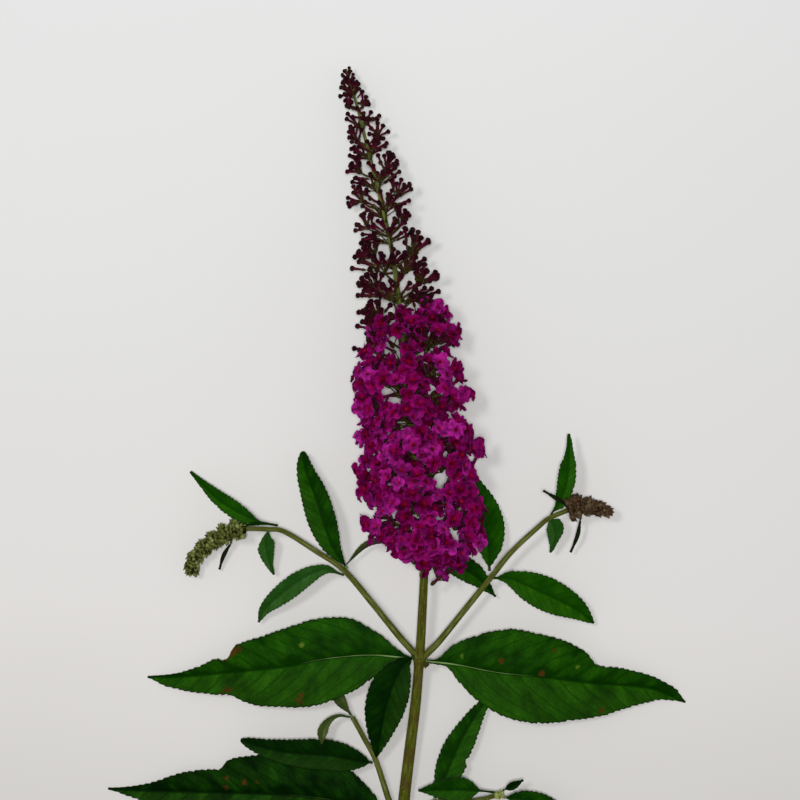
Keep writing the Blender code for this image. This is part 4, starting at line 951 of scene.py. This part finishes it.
# %% Place and gather copies
def gather(copies):
    """One shape of many placed copies: (template, matrix, shade from 0 to 1)."""
    shape = new_shape()
    own = shape.verts.layers.float_vector["own"]
    for mesh, place, shade in copies:
        part = mesh.copy()
        part.transform(place)
        start = len(shape.verts)
        shape.from_mesh(part)
        bpy.data.meshes.remove(part)
        shape.verts.ensure_lookup_table()
        for vert in shape.verts[start:]:
            vert[own].z = shade
    return shape


def aimed(place, ahead):
    """Matrix of a place whose Z looks along a direction."""
    return Matrix.Translation(place) @ ahead.to_track_quat("Z", "Y").to_matrix().to_4x4()


def stretch(start, end, radius):
    """Matrix that lays a unit rod from one point to another."""
    ahead = end - start
    return aimed(start, ahead) @ Matrix.Diagonal((radius, radius, ahead.length, 1.0))


def facing(place, ahead, spin, size=1.0):
    """Matrix that stands a template on a place, its Z along a direction."""
    return aimed(place, ahead) @ Matrix.Rotation(spin, 4, "Z") @ Matrix.Scale(size, 4)


lain = stretch(Vector((0, 0, 0)), Vector((0, 3, 0)), 1.0)
print("a unit rod laid over 3 mm ends at", [round(value, 3) for value in lain @ Vector((0, 0, 1))])

# %% [markdown]
# ## An open flower
# The corolla is a thin tube that opens into four rounded, slightly crimped lobes
# round a deep throat. One flat disc would look like confetti. A ring is spun with
# twenty sides, its rim is drawn in at four notches and out at four lobes, and the
# lobes curl a little, each variant in its own way.
# %% Flower variants
LOBE = (0.66, 0.94, 1.02, 1.02, 0.94)     # reach of the rim from one notch to the next
SIDES = 4 * len(LOBE)


def flower_limb(seed):
    rng = random.Random(seed)
    shape = turned([(0.0, -1.3), (0.5, -1.0), (0.70, -0.25), (1.35, 0.05), (2.55, 0.25),
                    (3.80, 0.1)], SIDES)
    own = shape.verts.layers.float_vector["own"]
    cup = (-0.9, -0.2, 0.3, 1.5)[seed % 4]
    curl = [cup + rng.uniform(-0.7, 0.7) for _ in range(4)]
    size = [rng.uniform(0.82, 1.10) for _ in range(4)]
    twist = [rng.uniform(-0.45, 0.45) for _ in range(4)]
    for vert in shape.verts:
        share = vert[own].x
        turn = math.atan2(vert.co.y, vert.co.x) % math.tau
        step = turn / math.tau * SIDES
        lobe = int(step // 5) % 4
        off_middle = (step % 5) - 2.5
        middle = 1.0 - abs(off_middle / 2.5)
        opened = max(share - 0.45, 0.0) / 0.55
        vert.co.xy *= 1.0 + (LOBE[round(step) % 5] * size[lobe] - 1.0) * opened
        crimp = noise.noise(Vector((2.4 * math.cos(turn), 2.4 * math.sin(turn),
                                    seed + 0.8 * share)))
        vert.co.z += (curl[lobe] * opened ** 2 * (0.4 + middle) + 0.55 * crimp * opened
                      - 0.35 * middle * opened + twist[lobe] * off_middle * 0.5 * opened)
        vert[own] = (share, middle, 0.0)
    return shape


LIMBS = [template(flower_limb(seed), f"limb_{seed}") for seed in range(8)]
TUBE = template(turned([(0.0, -7.2), (0.5, -7.0), (0.56, -4.0), (0.64, -1.5), (0.5, -1.2)], 7),
                "flower_tube")
print("flower variants:", len(LIMBS), "with", len(LIMBS[0].polygons), "faces each")

# %% [markdown]
# ## How far the head reaches
# The head isn't an even brush. Each row gives a y, how far the head reaches to the
# left and the right there, and for buds the turn of the pair of clusters. The
# gaps are the places where the paper shows through.
# %% Rows and gaps
FLOWER_ROWS = [
    (-28.0, 5.5, 17.0), (-21.0, 20.0, 23.0), (-15.5, 23.4, 24.8), (-9.0, 22.2, 23.0),
    (-2.0, 22.4, 21.0), (5.0, 27.2, 22.8), (12.0, 22.2, 25.6), (18.5, 20.0, 25.0),
    (25.5, 22.2, 17.8), (32.0, 20.6, 23.2), (38.5, 21.0, 25.2), (45.5, 21.0, 22.8),
    (53.0, 16.4, 17.6),
]
BUD_ROWS = [
    (59.0, 20.0, 22.4, 15), (65.5, 19.0, 19.0, 140), (72.0, 17.0, 18.6, 10),
    (78.0, 17.0, 17.5, 108), (83.5, 16.0, 17.8, 5), (89.5, 18.0, 14.0, 122),
    (96.0, 15.6, 16.4, 0), (101.5, 13.5, 12.0, 85), (106.5, 14.2, 12.0, -5),
    (112.0, 13.5, 13.0, 80), (117.5, 14.2, 14.2, -10), (123.5, 13.2, 12.8, 75),
    (128.5, 11.0, 11.6, -15), (134.5, 9.0, 9.4, 70), (140.5, 7.6, 11.0, -20),
    (146.0, 7.2, 9.0, 65), (152.5, 5.4, 6.4, -25), (158.5, 6.0, 4.8, 60),
]
ENVELOPE = sorted([(-34.0, 0.5, 11.0)] + FLOWER_ROWS + [row[:3] for row in BUD_ROWS])
# x, y and the radius kept clear of flowers
GAPS = [(-3.5, 37.7, 3.8), (0.0, 33.8, 4.2), (0.8, 24.4, 3.8), (17.6, 2.9, 4.8),
        (20.6, 29.6, 3.8), (-9.4, -11.2, 3.6), (-2.9, -11.2, 3.6), (16.1, -11.9, 3.8),
        (25.0, -9.0, 3.6), (-4.0, 52.6, 3.2), (0.4, 52.2, 3.6), (9.8, 52.2, 3.8),
        (28.5, 12.3, 3.4), (-26.0, 19.0, 3.4), (30.0, 40.5, 3.0), (24.3, 51.8, 4.6),
        (19.6, 73.0, 3.6), (-15.6, 58.8, 4.0), (-5.4, -25.2, 5.4), (5.9, -31.0, 3.6),
        (20.7, -36.2, 3.6), (34.2, 17.4, 3.0), (36.2, 3.7, 3.4), (-18.2, -4.9, 3.0),
        (-16.6, -14.7, 3.0), (-1.9, 57.7, 3.4), (15.7, 55.7, 3.8), (-21.0, 42.4, 4.0)]


def shows_paper(place):
    """Whether a place lies in one of the gaps, seen from above."""
    return any(math.hypot(place.x - x, place.y - y) < clear for x, y, clear in GAPS)


def reach_at(y):
    """How far the head reaches to the left and the right at y."""
    return [between_rows(ENVELOPE, y, column) for column in (1, 2)]


print("reach to the left and right at y = 0:", [round(side, 1) for side in reach_at(0.0)])

# %% [markdown]
# ## Clusters of open flowers
# Flowers stand in clusters, two opposite ones at each joint of the axis and the
# next pair across them, and each cluster is a low dome that is wider than it is
# long. Between the domes there are dark hollows. So flowers are thrown like darts
# at the domes and kept where no other stands closer than about two thirds of a
# flower. The right side opens first, and the upper half has only buds.
# %% Throw the flowers
CLUSTER_PITCH = 5.7          # mm along the axis from one pair of clusters to the next
TOP_CLUSTER, PAIRS = 69.0, 19
DOME = (6.3, 0.80)           # half its length along the axis, and half its turn about it
FLOWER_SPACING = 4.6         # mm
THROWS = 26000
FLOWERING = (-34.0, 72.0)    # y from the lowest to the highest flower
SEAT = 8.4                   # mm from a flower's face back to its calyx


def flower_clusters(rng):
    """Heart of each cluster, as y and turn."""
    hearts = []
    for index in range(PAIRS):
        y = TOP_CLUSTER - CLUSTER_PITCH * index
        for side in (0, 180):
            turn = math.radians(10 + 90 * (index % 2) + side) + rng.uniform(-0.14, 0.14)
            hearts.append((y + rng.uniform(-1.0, 1.0), turn))
    return hearts


def off_heart(y, turn, heart):
    """How far off a cluster's heart a place is, along and about the axis; 1 is its rim."""
    return (y - heart[0]) / DOME[0], math.remainder(turn - heart[1], math.tau) / DOME[1]


def is_open(y, turn, rng):
    """Flowers are open up to y = 54 on the left and 72 on the right."""
    late = 54.0 + 18.0 * (0.5 + 0.5 * math.cos(turn - 0.6))
    return y < late - 3.0 * rng.random()


def flower_sites(hearts, rng):
    """Places of the open flowers, each with its cluster's heart."""
    sites = []
    for _ in range(THROWS):
        y, turn = rng.uniform(*FLOWERING), rng.uniform(0, math.tau)
        if not is_open(y, turn, rng):
            continue
        off, heart = min((sum(part ** 2 for part in off_heart(y, turn, heart)), heart)
                         for heart in hearts)
        if off > 1.0:
            continue
        left, right = reach_at(y)
        here = axis_frame(y)
        deep = (1.0 - 0.20 * off) * (1.0 - 0.18 * rng.random() ** 2)
        reach = around(turn, left - 0.8, right - 0.8, here.translation.z - 2.6) * deep
        place = here @ Vector((reach.x * 1.06, reach.y, reach.z * 0.95))
        crowded = any((place - site[0]).length < FLOWER_SPACING for site in sites)
        hidden = math.sin(turn) < -0.35 and rng.random() < 0.45
        if not (place.z < 2.4 or crowded or shows_paper(place) or hidden):
            sites.append((place, heart))
    return sites


rng = random.Random(7)
HEARTS = flower_clusters(rng)
FLOWERS = flower_sites(HEARTS, rng)
print("open flowers:", len(FLOWERS), "in", len({heart for _, heart in FLOWERS}), "clusters")

# %% [markdown]
# ## Flowers on their twigs
# From the axis a stout twig rises to a knot in each cluster, and from the knot a
# thin one runs to each flower's calyx, so a flower never floats. Flowers look away
# from their knot, a little at random, and those on top turn up to the light.
# %% Hang the flowers
twigs, calyces, tubes, limbs, buds = [], [], [], [], []
knots = {}
for y, turn in HEARTS:
    left, right = reach_at(y)
    low = axis_frame(max(y - 0.20 * (left + right), -22.0))
    high = axis_frame(y - 4.2)
    knots[(y, turn)] = high @ around(turn, 0.40 * left, 0.40 * right, 0.5 * high.translation.z)
    twigs.append((TWIG, stretch(low.translation, knots[(y, turn)], 0.66), rng.random()))
for place, heart in FLOWERS:
    ahead = (place - knots[heart]).normalized()
    ahead += Vector([rng.gauss(0, 0.28) for _ in range(3)])
    if place.z > 14.0:
        ahead.z += 0.50 * (1.0 - ahead.z)
    ahead.normalize()
    spin, size = rng.uniform(0, math.tau), rng.uniform(0.94, 1.14)
    shade = rng.random()
    limbs.append((LIMBS[rng.randrange(len(LIMBS))], facing(place, ahead, spin, size), shade))
    tubes.append((TUBE, facing(place, ahead, spin, size), shade))
    seat = place - ahead * SEAT * size
    calyces.append((CALYX, facing(seat, ahead, spin, 0.95), rng.random()))
    twigs.append((TWIG, stretch(knots[heart], seat + ahead * 0.3, 0.30), rng.random()))
print("twigs so far:", len(twigs))

# %% [markdown]
# ## Buds
# Above the flowers the clusters are still in bud: a short forked twig with up to
# fifteen club-shaped buds that fan out and lean forward. They are thrown like the
# flowers, but kept apart by their heads, and each is drawn back to its twig.
# %% A cluster of buds
BUDS_PER_CLUSTER = (15, 11)            # on the lower and on the upper, smaller clusters
SMALL_FROM = 100.0                     # y where the smaller ones begin
THINNING = (132.0, 172.0)              # y over which a cluster's buds dwindle to none
BUD_SPACING = 2.8                      # mm between the heads of two buds
BUD_THROWS = 120                       # for one cluster
LATELY = 90                            # as many heads as can stand near the next one
heads = []


def add_bud(tip, root, size, rng):
    """A bud on its calyx, and a twig where its foot stands clear of the root."""
    ahead = (tip - root).normalized()
    foot = tip - ahead * BUD_LENGTH * size
    shade = rng.random()
    buds.append((BUD, facing(foot, ahead, rng.uniform(0, math.tau), size), shade))
    calyces.append((CALYX, facing(foot - ahead * 0.4, ahead, 0.0, 0.72 * size), shade))
    if (foot - root).dot(ahead) > 0.3:
        twigs.append((TWIG, stretch(root, foot, 0.24), shade))


def bud_cluster(y, left, right, middle, rng):
    tips = axis_frame(y)
    room = tips.translation.z - 1.6
    foot = axis_frame(y - 0.62 * (left + right) / 2)
    knot, end = [foot @ (around(middle, share * left, share * right, room)
                         + Vector((0.0, forward * (left + right), 0.0)))
                 for share, forward in ((0.36, 0.10), (0.60, 0.22))]
    if knot.z < 1.2:
        return
    twigs.append((TWIG, stretch(foot.translation, knot, 0.52), rng.random()))
    twigs.append((TWIG, stretch(knot, end, 0.40), rng.random()))
    small = y > SMALL_FROM
    size = 0.86 if small else 1.0
    placed = 0
    fewer = (THINNING[1] - y) / (THINNING[1] - THINNING[0])
    for _ in range(BUD_THROWS):
        spread = middle + math.radians(rng.uniform(-66, 66))
        level = rng.random()
        reach = around(spread, left + 0.3, right - 0.4, room) * (1.0 - 0.42 * level ** 1.4)
        tip = tips @ (reach + Vector((0.0, 6.6 * level - 2.8 + rng.uniform(-1.0, 1.0), 0.0)))
        crowded = any((tip - head).length < BUD_SPACING * size for head in heads[-LATELY:])
        if tip.z < 1.4 or crowded or shows_paper(tip):
            continue
        heads.append(tip)
        add_bud(tip, knot.lerp(end, rng.uniform(0.0, 0.9)), size, rng)
        placed += 1
        if placed >= BUDS_PER_CLUSTER[small] * min(1.0, fewer):
            break


rng = random.Random(11)
for y, left, right, turn in BUD_ROWS:
    for side in (0.0, 180.0):
        bud_cluster(y, left, right, math.radians(turn + side), rng)
print("buds in clusters:", len(buds))

# %% [markdown]
# ## The very tip
# At the tip the youngest buds crowd all round the axis. They need no throwing:
# each stands a fixed turn on from the last, as in a cone, and a little nearer.
# %% Young buds at the tip
TIP_BUDS = 30
for index in range(TIP_BUDS):
    share = index / TIP_BUDS
    here = axis_frame(153.0 + 10.4 * share)
    turn = 2.4 * index                 # radians; no two stand above each other
    reach = 4.4 - 2.4 * share
    tip = here @ Vector((reach * math.cos(turn), 2.8, reach * math.sin(turn)))
    ahead = (tip - here.translation).normalized()
    buds.append((BUD, facing(tip - ahead * 4.2, ahead, turn, 0.66), 0.93))
print("buds:", len(buds), "calyces:", len(calyces), "twigs:", len(twigs))

# %% [markdown]
# ## Paints of the flower head
# Petals are thin and velvety: almost no shine, a colour that runs from a dark red
# throat through magenta to violet, and no two flowers quite alike. A paint for
# each flower would be slow. Here the shade dealt to each copy moves its colour,
# so one joined mesh still reads as many flowers.
# %% A paint that is dealt
def dealt_paint(name, along, dealt, amount, grain, start=-1.0, depth=0.25, **inputs):
    """Colour along a small part, mixed from its start on with one dealt to each copy, and
    made darker and lighter by a grain of so many mm."""
    made, tree, shader = start_paint(name, **inputs)
    own = add(tree, "Attribute", attribute_name="own").outputs["Vector"]
    parts = add(tree, "SeparateXYZ", {0: own})
    place = add(tree, "TexCoord").outputs["Object"]
    run = add(tree, "ValToRGB", {"Fac": parts.outputs["X"]}, along)
    deal = add(tree, "ValToRGB", {"Fac": parts.outputs["Z"]}, dealt)
    share = add(tree, "MapRange", {"Value": parts.outputs["X"], "From Min": start,
                                   "From Max": start + 0.15, "To Max": amount})
    mixed = add(tree, "Mix", {0: share, 6: run, 7: deal}, data_type="RGBA")
    lumps = add(tree, "TexNoise", {"Vector": place, "Scale": 1 / (grain * MM), "Detail": 3.0})
    light = add(tree, "MapRange", {"Value": lumps, "From Min": 0.3, "From Max": 0.7,
                                   "To Min": 1.0 - depth, "To Max": 1.0 + 0.8 * depth})
    colour = add(tree, "VectorMath", {0: mixed, 1: light}, operation="MULTIPLY")
    finish_paint(tree, shader, colour, lumps, 0.3, 0.2)
    return made


# Petal: matt velvet, orange red in the throat and violet to the rim.
PETAL = dealt_paint(
    "petal_velvet",
    [(0.0, "#4C0610"), (0.25, "#7C0A1C"), (0.40, "#7C0628"), (0.56, "#680232"),
     (0.72, "#740448"), (1.0, "#901470")],
    [(0.0, "#3E0018"), (0.3, "#5E0032"), (0.58, "#7C0854"), (0.86, "#A82690"),
     (1.0, "#38001E")],
    amount=0.54, grain=2.083, start=0.30, depth=0.78, Roughness=0.75, Specular_IOR_Level=0.01)
print("petal paint:", PETAL.name)

# %% Tube, bud, calyx and twig paints
# Tube of the flower: the same skin, duller and greyer at its foot.
TUBE_SKIN = dealt_paint(
    "flower_tube_skin", [(0.0, "#3A1024"), (1.0, "#5A0A38")],
    [(0.0, "#3A081E"), (1.0, "#58163E")],
    amount=0.4, grain=1.429, Roughness=0.75, Specular_IOR_Level=0.08)
# Bud: dark wine tube with a nearly black, slightly dusty head.
BUD_SKIN = dealt_paint(
    "bud_skin",
    [(0.0, "#3A1E12"), (0.25, "#4E0C22"), (0.58, "#48061C"), (0.70, "#1A0206"),
     (1.0, "#160204")],
    [(0.0, "#1E020A"), (0.6, "#4A0A26"), (0.9, "#3A1E12"), (1.0, "#4A2E1C")],
    amount=0.30, grain=1.111, Roughness=0.7, Specular_IOR_Level=0.05)
# Calyx: a brown-green cup covered in short felt.
CALYX_FELT = dealt_paint(
    "calyx_felt", [(0.0, "#3C2E16"), (1.0, "#301A10")],
    [(0.0, "#26120C"), (0.6, "#40301A"), (1.0, "#5C5434")],
    amount=0.6, grain=0.833, Roughness=0.9, Specular_IOR_Level=0.04)
# Twig: thin olive stalks, browner as they age.
TWIG_SKIN = dealt_paint(
    "twig_skin", [(0.0, "#4E5220"), (1.0, "#3A2C16")],
    [(0.0, "#2A1E0C"), (0.6, "#42381A"), (1.0, "#3A2212")],
    amount=0.6, grain=1.667, Roughness=0.75, Specular_IOR_Level=0.05)
print("with it:", TUBE_SKIN.name, BUD_SKIN.name, CALYX_FELT.name, TWIG_SKIN.name)

# %% [markdown]
# ## Join the flower head
# Hundreds of objects would be slow to move and to export. All of a kind become
# one piece: axis, twigs, calyces, tubes, corollas and buds. The corollas stand for
# the solids of the two masses in flower, and the buds for the two in bud.
# %% Join each kind
def axis_radius(share, turn):
    return (AXIS_FOOT + (AXIS_TIP - AXIS_FOOT) * share) * squared(turn)


axis = new_shape()
add_rod(axis, AXIS, axis_radius, 16)
bmesh.ops.recalc_face_normals(axis, faces=axis.faces)
piece(axis, "panicle_axis", [AXIS_SKIN], "stem_green")
piece(gather(twigs), "panicle_twigs", [TWIG_SKIN], "stem_green")
piece(gather(calyces), "panicle_calyces", [CALYX_FELT], "bud_maroon")
piece(gather(tubes), "flower_tubes", [TUBE_SKIN], "flower_purple")
piece(gather(limbs), "flower_limbs", [PETAL], "flower_purple",
      "panicle_lower_flowers", "panicle_upper_flowers")
piece(gather(buds), "panicle_buds", [BUD_SKIN], "bud_maroon",
      "panicle_lower_buds", "panicle_tip_buds")

# %% [markdown]
# ## Stubs at the nodes
# In the leaf corners of the two nodes there are stubs of small shoots, brown and
# dry. A bud laid along each is enough, at its own length and thickness.
# %% Node stubs
STUBS = [((8.6, -69.3, 14.2), (12.8, -69.9, 14.6), 0.9),
         ((9.2, -70.2, 14.0), (11.8, -70.9, 14.0), 0.7),
         ((7.6, -67.4, 14.0), (5.8, -66.0, 14.4), 0.5),
         ((3.6, -134.6, 5.6), (5.6, -133.4, 6.2), 0.6)]
unit_bud = Matrix.Scale(1 / BUD_LENGTH, 4, (0, 0, 1))
piece(gather([(BUD, stretch(Vector(start), Vector(end), thickness) @ unit_bud, 0.5)
              for start, end, thickness in STUBS]),
      "node_stubs", [TWIG_SKIN], "stem_green")

# %% [markdown]
# ## Felt of the side spikes
# Two side shoots end in small spikes that aren't in flower: one is young,
# grey-green and felted with brown tips, the other brown and dry. A third shoot
# ends in a pale young tuft. Their cups take a dealt paint too: dark at the foot,
# as painted shade where the cups crowd, light at the mouth and brown at the tip.
# %% Spike felts
# on both spike felts the near-black first stops are painted shade at the foot of each cup
YOUNG_FELT = dealt_paint(
    "young_felt",
    [(0.0, "#0C1006"), (0.20, "#1E240C"), (0.36, "#4A5228"), (0.50, "#76823C"),
     (0.64, "#4C4C20"), (0.76, "#2C1C0C"), (1.0, "#1E1206")],
    [(0.0, "#28180C"), (0.35, "#3E421C"), (0.7, "#6A743C"), (1.0, "#989F64")],
    amount=0.48, grain=0.769, Roughness=0.9, Specular_IOR_Level=0.03)
DRY_FELT = dealt_paint(
    "dry_felt",
    [(0.0, "#140C06"), (0.25, "#302414"), (0.48, "#584832"), (0.70, "#3A2A18"),
     (1.0, "#1E1208")],
    [(0.0, "#201406"), (0.4, "#42321C"), (0.7, "#50342C"), (1.0, "#74664E")],
    amount=0.48, grain=0.769, Roughness=0.9, Specular_IOR_Level=0.03)
PALE_FELT = dealt_paint(
    "pale_felt", [(0.0, "#6E7A34"), (0.6, "#8E9650"), (1.0, "#7A7640")],
    [(0.0, "#5E6A2C"), (1.0, "#9AA060")],
    amount=0.4, grain=0.769, Roughness=0.9, Specular_IOR_Level=0.08)
print("felts:", YOUNG_FELT.name, DRY_FELT.name, PALE_FELT.name)

# %% [markdown]
# ## The side spikes and the tuft
# A spike is a row of tight whorls of little cups on a thin axis. Cups set in even
# rings would look like a pine cone. They are thrown over a lumpy, tapering oval
# instead, a lump for each whorl, and kept where no other stands too close.
# %% Spike table
# in mm; wide: radius at the foot and the tip; spacing: of cups; whorl: its length
SPIKES = {
    "spike_left": dict(
        path=[(-60.0, -16.6, 12.9), (-64.6, -17.3, 12.0), (-71.4, -20.5, 10.3),
              (-77.4, -25.2, 8.6), (-81.0, -30.6, 7.0), (-81.8, -35.0, 5.6)],
        wide=(5.3, 3.3), spacing=1.45, whorl=5.0, paint=YOUNG_FELT, slot="spike_grey_green"),
    "spike_right": dict(
        path=[(67.6, -9.0, 15.1), (71.2, -7.6, 14.8), (76.0, -7.8, 14.0),
              (80.8, -9.0, 13.0), (84.6, -10.2, 12.0)],
        wide=(6.2, 2.3), spacing=1.30, whorl=4.4, paint=DRY_FELT, slot="spike_brown"),
    "tuft_buds": dict(
        path=[(39.9, -122.3, 9.1), (42.4, -121.6, 9.6)],
        wide=(2.0, 1.5), spacing=1.30, whorl=1.3, paint=PALE_FELT, slot="spike_grey_green"),
}
print("spikes:", ", ".join(SPIKES))


# %% Shape of a spike
def taper(spike, share):
    """Radius at a share of the length, before the whorls swell it."""
    foot, tip = spike["wide"]
    return foot + (tip - foot) * share


def lumpy(spike, whorls, share, turn):
    """Radius of a spike without its cups' unevenness: it swells at every whorl."""
    lump = 0.5 + 0.5 * math.cos(math.tau * (whorls * share ** 0.85 - 0.1)
                                + 0.8 * math.sin(2 * turn))
    dip = 0.50 - 0.34 * share
    return (taper(spike, share) * (1.0 - dip + dip * lump)
            * min(1.0, math.sqrt(max(1.06 - share, 0.0) * 9.0)))


print("left spike at its middle:", round(lumpy(SPIKES["spike_left"], 5, 0.5, 0.0), 1), "mm")

# %% Make the spikes
THROWN_CUPS = 6000


def make_spike(name, spike, rng):
    path = Path(spike["path"])
    rod = new_shape()
    add_rod(rod, path, lambda share, turn: 0.40 * taper(spike, share)
            * (1.0 - 0.5 * share ** 8), 10)
    copies = [(template(rod, name + "_axis_rod"), Matrix.Identity(4), 0.2)]
    tips = []
    for _ in range(THROWN_CUPS):
        share, turn = rng.uniform(0.03, 1.0), rng.uniform(0, math.tau)
        here = path.frame(share)
        radius = lumpy(spike, path.length / spike["whorl"], share, turn) * rng.uniform(0.86, 1.0)
        lean = 0.45 + 0.9 * share ** 4 + rng.uniform(-0.3, 0.4)
        tip = here @ (Vector((math.cos(turn), 0.3 * share, math.sin(turn))) * radius)
        if tip.z < 0.8 or any((tip - other).length < spike["spacing"] for other in tips):
            continue
        tips.append(tip)
        ahead = (here.to_3x3() @ Vector((math.cos(turn), lean, math.sin(turn)))).normalized()
        size = rng.uniform(0.62, 1.08) * (1 - 0.22 * share)
        copies.append((KNOB, facing(tip - ahead * 2.5 * size, ahead, turn, size), rng.random()))
    shape = gather(copies)
    for vert in shape.verts:
        vert.co.z = max(vert.co.z, 0.3)
    print(name, "cups:", len(tips))
    piece(shape, name + "_cups", [spike["paint"]], spike["slot"], name)


rng = random.Random(23)
for name, spike in SPIKES.items():
    make_spike(name, spike, rng)

# %% [markdown]
# ## The paper
# The branch lay on pale matt paper. Its colour is painted lighter and cooler to the
# top, with faint broad patches, as a painted falloff of the light. It is a plain
# sheet 0.3 mm below the branch, with a faint fibre, and it is staged: part of the
# picture, but not of the plant.
# %% Paper
PAPER_Z = -0.3                         # mm
PAPER_HALF = 2.0                       # m from its middle to its edge, past the picture


def paper_paint():
    made, tree, shader = start_paint("pale_paper", Roughness=0.85, Specular_IOR_Level=0.1)
    place = add(tree, "TexCoord").outputs["Object"]
    fibre = add(tree, "TexNoise", {"Vector": place, "Scale": 1 / (1.111 * MM), "Detail": 2.0})
    parts = add(tree, "SeparateXYZ", {0: place})
    # a broad wash added to the height on the sheet: a painted falloff of the light, lighter to the
    # top
    wash = add(tree, "TexNoise", {"Vector": place, "Scale": 1 / (200.0 * MM), "Detail": 2.0})
    drift = add(tree, "Math", {0: wash, 1: 0.06, 2: parts.outputs["Y"]},
                operation="MULTIPLY_ADD")
    painted_falloff = add(tree, "MapRange", {"Value": drift, "From Min": -0.13, "From Max": 0.22})
    paper_with_painted_falloff = add(tree, "ValToRGB", {"Fac": painted_falloff},
               [(0.0, "#CFCCC8"), (0.30, "#DEDBD8"), (0.60, "#DFDEDB"), (1.0, "#E5E5E3")])
    finish_paint(tree, shader, paper_with_painted_falloff, fibre, 0.08, 0.1)
    return made


sheet = bmesh.new()
bmesh.ops.create_grid(sheet, x_segments=1, y_segments=1, size=PAPER_HALF,
                      matrix=Matrix.Translation((0, 0, PAPER_Z * MM)))
paper = bpy.data.meshes.new("paper")
sheet.to_mesh(paper)
sheet.free()
paper.materials.append(paper_paint())
floor = bpy.data.objects.new("paper_floor", paper)
bpy.context.scene.collection.objects.link(floor)
print("paper laid at z =", PAPER_Z, "mm")

# %% [markdown]
# ## Light
# The light was even and soft, a little stronger from the upper left, so shadows
# are short and blurred and fall to the lower right. A sun would cut them sharp. A
# broad lamp overhead, a weaker one to the left and a dim bright room do it.
# %% Light
scene = bpy.context.scene
scene.view_settings.view_transform = "Standard"
world = bpy.data.worlds.new("soft_room")
world.use_nodes = True
room = world.node_tree.nodes["Background"]
room.inputs["Color"].default_value = linear("#F4F6FA")
room.inputs["Strength"].default_value = 0.32
scene.world = world


def hang_lamp(name, place, size, energy):
    """A round soft lamp that faces the branch, placed in metres."""
    lamp = bpy.data.lights.new(name, "AREA")
    lamp.shape = "DISK"
    lamp.size = size
    lamp.energy = energy
    hung = bpy.data.objects.new(name, lamp)
    hung.location = place
    hung.rotation_euler = (-Vector(place)).to_track_quat("-Z", "Y").to_euler()
    scene.collection.objects.link(hung)
    print(name, "hangs", round(Vector(place).length, 2), "m off")


hang_lamp("key_softbox", (-0.26, 0.165, 1.0), 0.16, 2.4)
hang_lamp("overhead_softbox", (0.0, 0.03, 1.35), 0.14, 9.4)

# %% [markdown]
# ## Camera
# The camera hangs straight above and looks down, so the lens alone sets how much
# paper is seen: 320 mm across from a height of 900 mm, as a long lens gives.
# %% Camera
SENSOR, HEIGHT, PAPER_SEEN = 36.0, 900.0, 320.0     # mm
lens = bpy.data.cameras.new("camera")
lens.sensor_width = SENSOR
lens.lens = SENSOR * HEIGHT / PAPER_SEEN
camera = bpy.data.objects.new("camera", lens)
camera.location = (Vector((1.2, 34.2, HEIGHT)) + SHIFT) * MM
scene.collection.objects.link(camera)
scene.camera = camera
print("lens", lens.lens, "mm")
